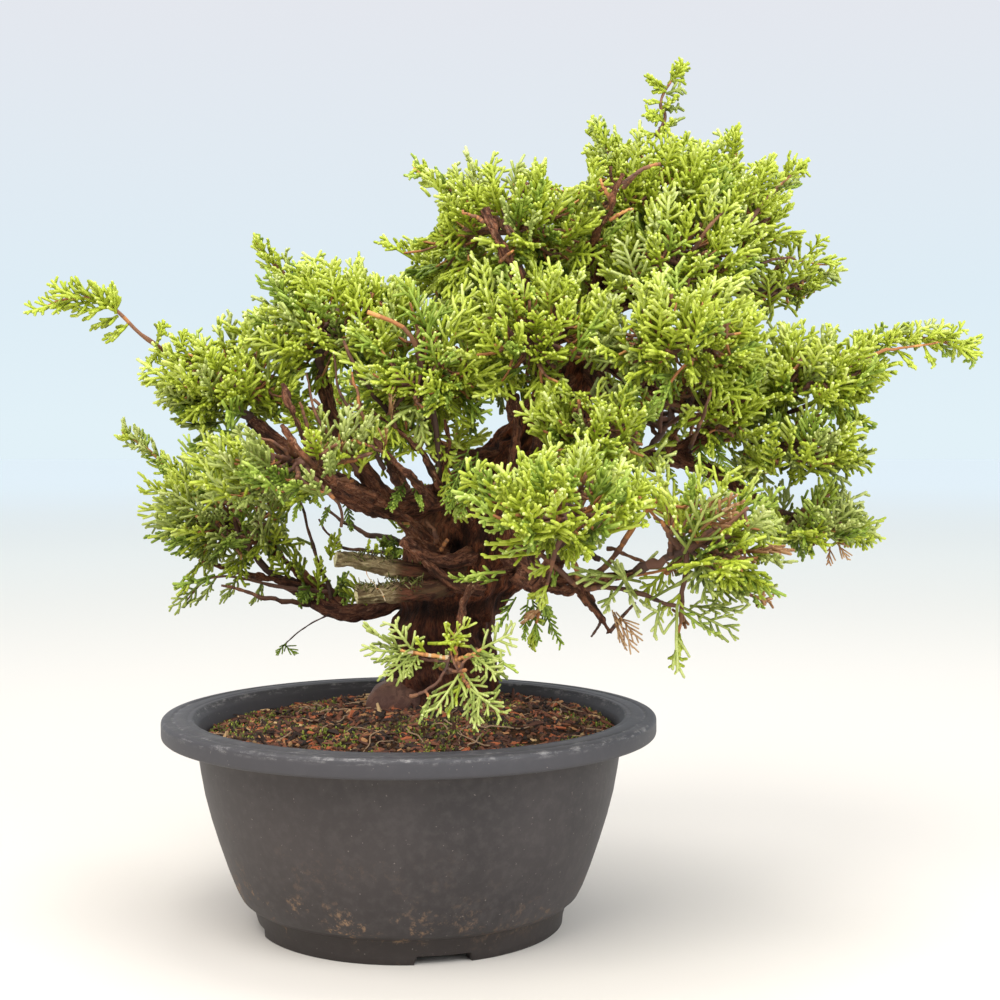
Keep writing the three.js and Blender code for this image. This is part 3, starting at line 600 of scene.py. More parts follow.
# Each bark's base, ridges, clefts and pale flakes
barkColours = {
    "trunkBark": [(92, 51, 34), (152, 86, 54), (31, 17, 12), (172, 120, 86)],
    "boughBark": [(95, 58, 44), (152, 98, 70), (40, 24, 18), (184, 138, 110)],
    "youngBark": [(94, 56, 38), (140, 88, 60), (50, 28, 19), (184, 142, 110)],
    "stubBark": [(164, 142, 102), (204, 184, 138), (104, 82, 56), (214, 196, 156)],
}


def makeBark(name, skins, looks, replaced, lookOfFace):
    points, quads, tris, grain, shade, hollowShade = joinParts(skins)
    paleLitBurl = hollowShade * 0
    if name == "barkTrunk":
        paleLitBurl = np.exp(-(np.linalg.norm(points - wood["paleLitBurl"], axis=1) / wood["paleLitBurlReach"]) ** 2)
    values = {"grain": grain, "shade": shade, "hollowShade": hollowShade, "paleLitBurl": paleLitBurl}
    makePiece(name, points, [quads, tris], looks, replaced, lookOfFace, values=values)
    return points


def makeWood():
    barkLook, boughLook, paleLook, stubLook = [
        barkPaint(name, *[srgb(*colour) for colour in colours], mossy=name == "stubBark")
        for name, colours in barkColours.items()]

    trunk = barkSkin(limbLines["trunk"], limbRadii["trunk"], wood["trunkSides"], wood["trunkRings"], 1,
                     dents=wood["dents"], grooves=wood["grooves"])
    root = lobeSkin()
    lookOfFace = np.repeat([0, 1, 0, 1], [len(skin[k]) for k in (1, 2) for skin in (trunk, root)])
    makeBark("barkTrunk", [trunk, root], [barkLook, lobePaint()], ["trunk"], lookOfFace)

    skins = []
    for i, name in enumerate(boughPlans):
        radii = limbRadii[name] * wood["slimmed"].get(name, 1)
        skins.append(barkSkin(limbLines[name], radii, wood["boughSides"], wood["boughRings"],
                              20 + i, 0.45, 1.7))
    pale = [name == "bough_hanging" for name in boughPlans]
    for i, (spots, first, last) in enumerate(roughTwigs):
        radii = np.linspace(last, first, limbPoints)
        skins.append(barkSkin(smoothLine(spots[::-1], limbPoints), radii, wood["twigSides"], wood["twigRings"],
                              80 + i, 0.3, 2.2))
        pale.append(last < 2)
    lookOfFace = np.concatenate([np.repeat(pale, [len(skin[k]) for skin in skins]) for k in (1, 2)])
    makeBark("barkBoughs", skins, [boughLook, paleLook], list(boughPlans), lookOfFace)

    # A stub's far end is sawn: the second half of its triangles
    sides = wood["stubSides"]
    skins = [barkSkin(limbLines[name], limbRadii[name], sides, wood["stubRings"], 60 + i, 0.5, 2.4)
             for i, name in enumerate(stubPlans)]
    quadCount = sum(len(skin[1]) for skin in skins)
    lookOfFace = np.concatenate([np.zeros(quadCount, int), np.repeat([0, 1] * len(skins), sides)])
    looks = [stubLook, sawnPaint()]
    stubMoss(makeBark("sawnStubs", skins, looks, list(stubPlans), lookOfFace))


makeWood()
print("wood done")


# Foliage
# Each mass: its limb, centre, half sizes, kind of spray, and its long shoots as tip, sag and, where it is
# under 1, how leafy they are
masses = {
    "left_low": ("bough_left_low", [-82, 56, 162], [38, 38, 34], "loose", [[-130, 62, 199, -6]]),
    "left_far": ("bough_left_far", [-73, -14, 219], [29, 32, 25], "tuft", []),
    "left_top": ("bough_left_top", [-30, -4, 242], [35, 38, 28], "tuft", [[-61, -10, 275, -3]]),
    "left_front": ("bough_left_mid", [-38, -42, 187], [38, 28, 22], "tuft", []),
    "centre_left": ("bough_centre_left", [7, -24, 222], [28, 32, 34], "loose", [[22, -20, 166, 4]]),
    "upper_left": ("bough_upper_left", [39, -3, 283], [41, 37, 27], "tuft", [[2, -2, 305, -2]]),
    "centre_upper": ("bough_centre_upper", [51, -32, 236], [29, 30, 30], "tuft", []),
    "apex": ("trunk", [95, 13, 298], [37, 38, 26], "tuft", [[74, 10, 325, -2]]),
    "top_right": ("bough_top_right", [132, 18, 286], [24, 36, 31], "tuft",
                  [[162, 24, 310, 2], [134, 16, 320, 0, 0.6]]),
    "right_upper": ("bough_right_upper", [158, 36, 262], [21, 28, 18], "tuft", [[179, 36, 268, 2, 0.4]]),
    "upper_right": ("bough_upper_right", [111, -12, 267], [29, 28, 25], "tuft", []),
    "right_front": ("bough_right_front", [106, -50, 235], [31, 31, 26], "tuft", []),
    "right_inner": ("bough_right_inner", [116, -24, 209], [28, 27, 22], "tuft", []),
    "right_far": ("bough_right_far", [161, -12, 223], [32, 34, 22], "tuft", [[225, -16, 230, -22]]),
    "right_mid": ("bough_right_mid", [156, -16, 194], [27, 32, 18], "tuft", []),
    "right_low": ("bough_right_low", [165, -6, 163], [25, 31, 18], "loose", []),
    "centre_front": ("bough_centre_front", [75, -44, 201], [30, 27, 19], "tuft", []),
    "front_pad": ("bough_front_pad", [58, -90, 173], [36, 34, 22], "tuft", [[48, -50, 121, 2, 0.5]]),
    "front_pad_right": ("bough_front_pad_right", [108, -76, 161], [34, 34, 29], "loose",
                        [[102, -62, 113, 0, 0.3], [134, -70, 137, 2, 0.6]]),
    "hanging": ("bough_hanging", [16, -78, 113], [27, 16, 19], "hanging", []),
    "back_upper_left": ("bough_back_upper_left", [17, 50, 270], [24, 30, 24], "tuft", []),
    "back_left": ("bough_back_left", [-24, 94, 204], [44, 34, 32], "tuft", []),
    "back_centre": ("bough_back_centre", [42, 88, 235], [41, 34, 35], "tuft", []),
    "back_right": ("bough_back_right", [112, 82, 208], [42, 36, 32], "tuft", []),
    "back_top": ("bough_back_top", [92, 62, 272], [40, 32, 30], "tuft", []),
    "back_low": ("bough_back_low", [20, 102, 158], [36, 30, 21], "loose", []),
}
# The masses whose leaves are joined into one piece
leafGroups = {
    "leavesLeft": ["left_far", "left_top", "left_front"],
    "leavesLeftLow": ["left_low", "centre_left", "hanging"],
    "leavesTop": ["upper_left", "apex", "upper_right"],
    "leavesTopRight": ["top_right", "right_upper", "right_far"],
    "leavesCentre": ["centre_upper", "right_front", "centre_front", "right_inner"],
    "leavesRightLow": ["right_mid", "right_low", "front_pad_right"],
    "leavesFront": ["front_pad", "back_upper_left", "back_low"],
    "leavesBack": ["back_left", "back_centre"],
    "leavesBackRight": ["back_right", "back_top"],
}
# Kinds of spray: side shoots, small shoots on each, length range, thickness, how far its fingers spread, how
# much they leave its plane, its longest side shoot's share of its length, and how much it rises in a mass
sprayNumbers = ["sides", "subs", "length", "thick", "spread", "lift", "longest", "rise"]
sprayKinds = {
    "tuft": (10, 1, (10, 18), 0.7, 1.0, 0.65, 0.27, 0.75),
    "loose": (8, 1, (12, 22), 0.67, 0.95, 0.45, 0.3, 0.35),
    "hanging": (8, 1, (9, 15), 0.55, 1.0, 0.4, 0.3, -0.4),
    "shoot": (5, 1, (5, 10), 0.66, 0.75, 0.35, 0.44),
    "feather": (22, 0, (9, 22), 0.4, 0.85, 0.9, 0.17),
    "bare": (4, 0, (8, 25), 0.62, 0.8, 0.2, 0.42),
    "slender": (5, 0, (9, 26), 0.62, 0.85, 0.4, 0.16),
    "needles": (7, 0, (8, 18), 0.34, 0.6, 0.5, 0.5),
}
sprayKinds = {name: dict(zip(sprayNumbers, row)) for name, row in sprayKinds.items()}
foliage = {
    # sprays of a mass of the usual half size, the heights that they spread over, and the masses' own twigs
    "perMass": 122, "usualHalf": 31.0, "sprayHeights": (0.98, -0.92), "mainHeights": (0.95, -0.7),
    "mainTwigs": 12, "hangingTwigs": 5, "twigReach": 0.68, "hangingSlim": 0.5,
    # how far out the tips lie, as shares of the half sizes, and the shares of sprays that lie so
    "valley": 0.78, "valleyTop": 0.96, "crest": 0.97, "outer": 0.66, "inner": (0.45, 0.86),
    "stray": 0.10, "strayReach": (0.98, 1.1), "bridging": 0.6, "bridgeReach": (0.92, 1.25),
    "underside": 0.5, "twigsSeen": 0.9, "spaceEdge": 1.27, "overlap": 0.35, "treeMiddle": [45, 10, 0],
    "stemRadius": 2.0, "twigRadius": 1.15, "sprayTwig": 0.66, "tipRadius": 0.5, "twigInSpray": 0.35,
    "fingerSides": 5, "smallSides": 4, "dullShare": 0.12, "looseDull": 2.2, "usualSage": 0.06,
    # a long shoot's radii, the distance between its fans, and their length at its foot and at its tip
    "shootRadii": (1.05, 0.5), "shootFans": 3.0, "shootFan": (12.0, 5.5), "shootPaintedLight": 0.95,
}
# How many of a mass's sprays are sage, and how many have dried to brown
sageShare = {"left_front": 0.4, "left_low": 0.3, "hanging": 0.8, "front_pad_right": 0.2, "right_low": 0.35,
             "right_mid": 0.25, "right_far": 0.15, "left_far": 0.12, "centre_front": 0.15}
driedShare = {"left_front": 0.015, "front_pad_right": 0.03, "right_low": 0.04, "front_pad": 0.02}
# Masses with fewer sprays than their size gives
sparse = {"hanging": 0.12, "left_low": 0.8, "right_low": 0.8, "right_upper": 0.5, "front_pad_right": 0.7,
          "upper_left": 0.92, "top_right": 0.9}
# Openings where the background shows through, as the camera sees them: middle and half sizes in picture points
skyGaps = [
    (350, 532, 46, 22), (300, 520, 13, 18), (500, 446, 10, 14), (562, 340, 6, 7), (449, 340, 6, 6),
    (672, 417, 8, 10), (722, 456, 9, 8), (738, 447, 6, 5), (651, 440, 9, 20), (678, 364, 7, 7),
    (522, 366, 5, 12), (537, 443, 6, 9), (640, 548, 34, 20), (618, 615, 16, 22), (418, 214, 20, 24),
    (388, 262, 24, 11), (568, 168, 20, 18), (824, 306, 20, 16), (822, 218, 24, 15),
]
# Places where the twigs behind show, in the same way
twigGaps = [
    (288, 448, 26, 26), (318, 408, 16, 26), (352, 392, 14, 26), (346, 476, 40, 13), (402, 462, 26, 22),
    (440, 466, 14, 34), (581, 375, 19, 20), (528, 436, 14, 26), (494, 230, 13, 24), (518, 276, 14, 16),
    (612, 560, 30, 30), (290, 566, 44, 20), (684, 440, 20, 20), (500, 540, 24, 36), (412, 350, 16, 26),
    (702, 238, 12, 22), (702, 414, 10, 22), (790, 262, 22, 8), (612, 205, 14, 30),
]
# Places where no finger crosses the wood behind
woodGaps = [(580, 374, 15, 18), (416, 540, 14, 16)]


def pictureOf(points):
    # Picture points of a place: half the picture + focal length over depth times the offset across and down.
    half, focal = view["picture"] / 2, view["lens"] / view["sensor"] * view["picture"]
    pitch = math.radians(view["pitch"])
    offset = np.asarray(points, float) - np.array(view["place"])
    depth = offset[..., 1] * math.cos(pitch) - offset[..., 2] * math.sin(pitch)
    rise = offset[..., 1] * math.sin(pitch) + offset[..., 2] * math.cos(pitch)
    return half + focal * offset[..., 0] / depth, half - focal * rise / depth


def inGap(points, gaps):
    x, y = pictureOf(points)
    hit = np.zeros(len(points), bool)
    for middleX, middleY, halfX, halfY in gaps:
        hit |= ((x - middleX) / halfX) ** 2 + ((y - middleY) / halfY) ** 2 < 1
    return hit


def depthIn(name, points):  # 0 at a mass's centre and 1 on its outline
    return np.linalg.norm((points - np.array(masses[name][1], float)) / masses[name][2], axis=-1)


def inOwnSpace(name, points):
    # True where a point is inside its mass's edge, and no other mass holds it by more than the overlap.
    own = depthIn(name, points)
    room = own < foliage["spaceEdge"]
    for other in masses:
        if other != name:
            room &= depthIn(other, points) + foliage["overlap"] > own
    return room


def fanFingers(root, heading, outward, length, kind, rng):
    # A fan of shoots: axis(t) = root + heading reach t + bend t^2, side shoots at turning angles along it on
    # alternate sides, and small shoots along each of those in the same way. All of them arch forward.
    shape = sprayKinds[kind]
    n, sides, subs = len(root), shape["sides"], shape["subs"]
    side = unit(np.cross(heading, outward))
    side = turnAbout(side, heading, rng.uniform(-0.9, 0.9, n))
    face = np.cross(side, heading)
    reach = length[:, None]
    bend = face * reach * rng.uniform(-0.02, 0.24, (n, 1)) + side * reach * rng.uniform(-0.16, 0.16, (n, 1))
    t = lerp(0.08, 0.95, (np.arange(sides) + 0.5) / sides) + rng.uniform(-0.04, 0.04, (n, sides))
    sign = np.where(np.arange(sides) % 2, 1.0, -1.0) * np.where(rng.random((n, 1)) < 0.5, 1, -1)
    tangent = unit(heading[:, None] * reach[:, None] + 2 * bend[:, None] * t[..., None])
    start = root[:, None] + heading[:, None] * reach[:, None] * t[..., None] + bend[:, None] * t[..., None] ** 2
    angle = lerp(1.15, 0.6, t) * shape["spread"] + rng.uniform(-0.18, 0.18, (n, sides))
    lift = rng.uniform(-0.7, 1.0, (n, sides)) * shape["lift"]
    sideWay = side[:, None] * (np.sin(angle) * sign)[..., None] + tangent * np.cos(angle)[..., None]
    sideWay = unit(sideWay + face[:, None] * lift[..., None])
    least = 0.22 if subs else 0.09
    sideLength = length[:, None] * (shape["longest"] * (1 - t) ** 0.8 + least)
    sideLength = sideLength * rng.uniform(0.7, 1.2, (n, sides))
    sideBend = heading[:, None] * 0.2 + face[:, None] * rng.uniform(-0.02, 0.2, (n, sides, 1))
    sideBend = sideBend * sideLength[..., None]
    u = lerp(0.3, 0.8, (np.arange(subs) + rng.uniform(0.1, 0.9, (n, sides, subs))) / max(subs, 1))
    subSign = np.where((np.arange(subs) + np.arange(sides)[:, None]) % 2, 1.0, -1.0)
    wayS, lenS = sideWay[:, :, None], sideLength[:, :, None, None]
    subStart = start[:, :, None] + wayS * lenS * u[..., None] + sideBend[:, :, None] * u[..., None] ** 2
    subAngle = rng.uniform(0.5, 1.0, (n, sides, subs))
    across = unit(np.cross(face[:, None], sideWay))[:, :, None]
    subLift = rng.uniform(-0.6, 0.8, (n, sides, subs, 1)) * shape["lift"]
    subWay = unit(wayS * np.cos(subAngle)[..., None] + across * (np.sin(subAngle) * subSign)[..., None]
                  + face[:, None, None] * subLift)
    subLength = sideLength[:, :, None] * (0.78 - 0.35 * u) * rng.uniform(0.75, 1.3, (n, sides, subs))
    subLength = np.clip(subLength, 2.6, 7.5)
    subBend = np.broadcast_to(heading[:, None, None] * 0.5, (n, sides, subs, 3)).reshape(-1, 3)
    spray, thick = np.arange(n), shape["thick"]
    return {
        "start": np.concatenate([root, start.reshape(-1, 3), subStart.reshape(-1, 3)]),
        "way": np.concatenate([heading, sideWay.reshape(-1, 3), subWay.reshape(-1, 3)]),
        "bend": np.concatenate([bend, sideBend.reshape(-1, 3), subBend]),
        "length": np.concatenate([length, sideLength.ravel(), subLength.ravel()]),
        "radius": thick * np.repeat([1.0, 0.97, 0.9], [n, n * sides, n * sides * subs]),
        "level": np.repeat([0, 1, 2], [n, n * sides, n * sides * subs]),
        "spray": np.concatenate([spray, np.repeat(spray, sides), np.repeat(spray, sides * subs)]),
        "along": np.concatenate([np.full(n, 0.6), t.ravel(), np.repeat(t.ravel(), subs)]),
    }


def joinFans(fans):
    # Several fans' fingers as one set, with the numbers of their sprays kept apart.
    joined, count = {}, 0
    for fan in fans:
        fan["spray"] = fan["spray"] + count
        count = fan["spray"].max() + 1
    for key in fans[0]:
        joined[key] = np.concatenate([fan[key] for fan in fans])
    return joined


def scatterOver(count, heights, turn):
    # Directions spread evenly by the golden angle, from the first height to the last.
    i = np.arange(count)
    height = lerp(*heights, (i + 0.5) / count)
    flat, angle = np.sqrt(1 - height ** 2), i * goldenAngle + turn
    return np.stack([flat * np.cos(angle), flat * np.sin(angle), height], axis=1)


def limbRow(start, bend, end, first, last, firstTone, lastTone):
    # Thin limbs of one kind: their curves' three points, their radii and their place in the row of browns.
    return start, bend, end, first, last, firstTone, lastTone


def growStem(name, seed, rng):
    # The mass's stem as three points of a curve, and its main twigs: they leave the stem and run towards
    # directions spread over the mass's ellipsoid.
    limb, centre, half, kind, _ = masses[name]
    centre, half = np.array(centre, float), np.array(half, float)
    start, leave = pointAt(limb, 1.0)
    end = centre + unit(centre - start) * 0.25 * half.min()
    stem = start, start + leave * 0.4 * np.linalg.norm(end - start), end
    m = foliage["hangingTwigs" if kind == "hanging" else "mainTwigs"]
    out = scatterOver(m, foliage["mainHeights"], 2 * math.pi * chance(seed, 1))
    out = unit(out + rng.normal(0, 0.16, (m, 3)))
    tips = centre + out * half * foliage["twigReach"] * rng.uniform(0.85, 1.12, (m, 1))
    feet = bezier(*stem, lerp(0.45, 1.0, (np.arange(m) + 0.5) / m))
    shown = ~inGap(tips, skyGaps) & ~inGap(lerp(feet, tips, 0.7), skyGaps)
    out, tips, feet = out[shown], tips[shown], feet[shown]
    bends = lerp(feet, tips, 0.5) + rng.normal(0, 1.5, (len(out), 3)) - [0, 0, 2.5]
    return stem, out, (feet, bends, tips)


def placeTips(name, seed, rng, mainOut):
    # Directions of the sprays' tips and how far out they lie, nearest main twig for each. Between two
    # twigs' domes the tips lie lower: reach = valley + (crest - valley) smooth(cosine to the twig).
    centre, half = np.array(masses[name][1], float), np.array(masses[name][2], float)
    area = (half[0] * half[1] + half[1] * half[2] + half[2] * half[0]) / 3
    n = int(round(foliage["perMass"] * area / foliage["usualHalf"] ** 2 * sparse.get(name, 1)))
    out = scatterOver(n, foliage["sprayHeights"], 2 * math.pi * chance(seed, 0))
    out = unit(out + rng.normal(0, 0.07, (n, 3)))
    facing = out @ mainOut.T
    dome = smoothStep(0.78, 1.0, facing.max(axis=1))
    outer = rng.random(n) < foliage["outer"]
    valley = lerp(foliage["valley"], foliage["valleyTop"], smoothStep(-0.1, 0.7, out[:, 2]))
    crown = lerp(valley, foliage["crest"], dome) * rng.uniform(0.92, 1.02, n)
    reach = np.where(outer, crown, rng.uniform(*foliage["inner"], n))
    reach = np.where(rng.random(n) < foliage["stray"], rng.uniform(*foliage["strayReach"], n), reach)
    far = centre + out * half * 1.25
    beside = np.min([depthIn(other, far) for other in masses if other != name], axis=0) < 1.35
    bridging = beside & (rng.random(n) < foliage["bridging"])
    reach = np.where(bridging, rng.uniform(*foliage["bridgeReach"], n), reach)
    return out, np.argmax(facing, axis=1), reach, centre + out * half * reach[:, None]


def growShoot(shoot, stem, seed, rng):
    # A long shoot from the stem to its tip, with fans that stand all round it by the golden angle.
    x, y, z, sag, *leafy = shoot
    end = np.array([x, y, z], float)
    start = bezier(*stem, 0.7)
    knee = lerp(start, end, 0.5) - [0, 0, sag]
    twig = limbRow(start[None], knee[None], end[None], *foliage["shootRadii"], 0.6, 3.2)
    number = int(np.linalg.norm(end - start) / foliage["shootFans"] * (leafy[0] if leafy else 1))
    at = lerp(0.28, 0.985, (np.arange(number) + 0.5) / number)
    spots = bezier(start, knee, end, at)
    tangent = unit(bezier(start, knee, end, at + 0.01) - bezier(start, knee, end, at - 0.01))
    turn = goldenAngle * np.arange(number) + seed
    sideways = turnAbout(unit(np.cross(tangent, [0.3, 1.0, 0.2])), tangent, turn)
    way = unit(tangent * 0.75 + sideways * 0.7 + [0, 0, 0.12])
    length = lerp(*foliage["shootFan"], at) * rng.uniform(0.75, 1.2, number)
    way[-1], spots[-1] = tangent[-1], end - tangent[-1] * length[-1]
    fan = fanFingers(spots, way, -sideways + [0, 0, 0.3], length, "shoot", rng)
    fan["glow"] = np.full(len(fan["length"]), foliage["shootPaintedLight"])
    return twig, fan


def growMass(name, seed):
    # Main twigs, then sprays whose tips lie all over the mass's ellipsoid. Each spray rises from the main
    # twig nearest to it: root = tip - heading length. What hides a gap, a limb or a neighbour is left out.
    _, centre, _, kind, shoots = masses[name]
    rng = np.random.default_rng(seed)
    shape = sprayKinds[kind]
    slim = foliage["hangingSlim"] if kind == "hanging" else 1.0
    stem, mainOut, main = growStem(name, seed, rng)
    out, nearest, reach, tip = placeTips(name, seed, rng, mainOut)
    n = len(out)
    base = bezier(*(points[nearest] for points in main), rng.uniform(0.35, 0.98, n))
    length = np.clip(np.linalg.norm(tip - base, axis=1), *shape["length"]) * rng.uniform(0.8, 1.2, n)
    away = unit((np.array(centre, float) - foliage["treeMiddle"]) * [1, 1, 0])
    rise = shape["rise"] * smoothStep(-0.9, 0.2, out[:, 2:]) * [0, 0, 1]
    heading = unit(0.5 * out + 0.3 * unit(tip - base) + 0.3 * away + rise + rng.normal(0, 0.14, (n, 3)))
    root = tip - heading * length[:, None]
    keep = inOwnSpace(name, tip) & clearOfLimbs(tip, 1.2) & clearOfLimbs(root, 0.2)
    keep &= ~((out[:, 2] < -0.3) & (rng.random(n) < foliage["underside"])) & ~inGap(root, skyGaps)
    keep &= ~inGap(root + heading * length[:, None] * foliage["twigInSpray"], skyGaps)
    keep &= ~(inGap(lerp(root, tip, 0.5), twigGaps) & (rng.random(n) < foliage["twigsSeen"]))
    out, heading, length, reach, root, base = (a[keep] for a in (out, heading, length, reach, root, base))
    fan = fanFingers(root, heading, out, length, kind, rng)
    # Painted shade deeper in the mass and lower down, painted light further out and higher up
    fan["glow"] = (0.8 * reach + 0.30 * out[:, 2])[fan["spray"]]
    fans = [fan]
    thick, thin = slim * foliage["stemRadius"], slim * foliage["twigRadius"]
    twigs = [
        limbRow(*(point[None] for point in stem), thick, thin, 0, 1),
        limbRow(*main, thin, foliage["sprayTwig"], 0.6, 2.2),
    ]
    small = limbRow(base, lerp(base, root, 0.6) - heading * 1.5,
                    root + heading * length[:, None] * foliage["twigInSpray"],
                    foliage["sprayTwig"], foliage["tipRadius"], 1.2, 3.4)
    for shoot in shoots:
        twig, fan = growShoot(shoot, stem, seed, rng)
        twigs.append(twig)
        fans.append(fan)

    fingers = joinFans(fans)
    ends = fingers["start"] + fingers["way"] * fingers["length"][:, None] + fingers["bend"]
    middle = lerp(fingers["start"], ends, 0.5)
    keep = clearOfLimbs(ends, 0.6) & clearOfLimbs(middle, 0.4)
    keep &= ~inGap(ends, skyGaps + woodGaps) & ~inGap(middle, skyGaps + woodGaps)
    fingers = {key: value[keep] for key, value in fingers.items()}
    fingers["mass"] = np.full(len(fingers["length"]), list(masses).index(name))
    count = fingers["spray"].max() + 1
    dull = rng.random(count) < foliage["dullShare"] * (foliage["looseDull"] if kind == "loose" else 1)
    dried = rng.random(count) < driedShare.get(name, 0)
    sage = rng.random(count) < sageShare.get(name, foliage["usualSage"])
    fingers["palette"] = np.where(dried, 2, np.where(sage, 3, np.where(dull, 1, 0)))[fingers["spray"]]
    return fingers, twigs, small


# Greens from the painted shade of the inside to the bright young tips, the palest with painted pale highlights,
# duller greens, browns of dried sprays, and sage
leafPalettes = [
    [(104, 113, 20), (137, 150, 32), (163, 176, 46), (181, 193, 70), (192, 202, 98), (201, 210, 126),
     (210, 217, 146)],
    [(76, 92, 24), (98, 118, 34), (124, 146, 46), (148, 168, 62), (168, 184, 82), (184, 196, 106),
     (200, 208, 132)],
    [(98, 62, 38), (124, 82, 50), (146, 104, 66), (166, 124, 84), (182, 146, 106)],
    [(94, 106, 40), (120, 132, 56), (145, 157, 74), (167, 177, 94), (183, 191, 114), (197, 204, 136)],
]
leafTones = [srgb(*tone) for palette in leafPalettes for tone in palette]
leafLooks = [plainLook(f"leafTone{i}", c, 0.55, Specular_IOR_Level=0.35) for i, c in enumerate(leafTones)]
paletteLast = np.array([len(palette) - 1 for palette in leafPalettes])
paletteStart = np.cumsum(paletteLast + 1) - paletteLast - 1
# Browns of the twigs, from old bark to the orange of young shoots, and the tan of a dry stalk
twigTones = [(72, 48, 38), (98, 64, 48), (126, 84, 58), (166, 108, 62), (200, 142, 82), (204, 182, 148)]
twigLooks = [plainLook(f"twigTone{i}", srgb(*tone), 0.75) for i, tone in enumerate(twigTones)]


def tubesOf(fingers, chosen, shares, widths, sides, tone):
    # The chosen fingers as tubes: centre(t) = start + way reach t + bend t^2. A tube's rings of faces grow
    # lighter towards its tip by one tone each, and its tip by one more.
    reach = fingers["length"][chosen][:, None, None]
    t = np.array(shares)
    centres = (fingers["start"][chosen][:, None] + fingers["way"][chosen][:, None] * reach * t[:, None]
               + fingers["bend"][chosen][:, None] * (t ** 2)[:, None])
    jitter = 1 + 0.16 * (chance(3, chosen) - 0.5)
    radii = (fingers["radius"][chosen] * jitter)[:, None] * widths
    points, quads, tris = sweep(centres, radii, sides, blunt=0.85)
    palette = fingers["palette"][chosen]
    start, last = paletteStart[palette], paletteLast[palette]
    rows = [start + np.clip(tone[chosen] + k, 0, last) for k in range(len(t) + 1)]
    quadTone = np.stack([row for row in rows[:len(t) - 1] for _ in range(sides)], axis=1).ravel()
    cap = np.where(chance(9, chosen) < 0.4, rows[len(t)], rows[len(t) - 2])
    triTone = np.stack([rows[0]] * sides + [cap] * sides, axis=1).ravel()
    return points, quads, tris, quadTone, triTone


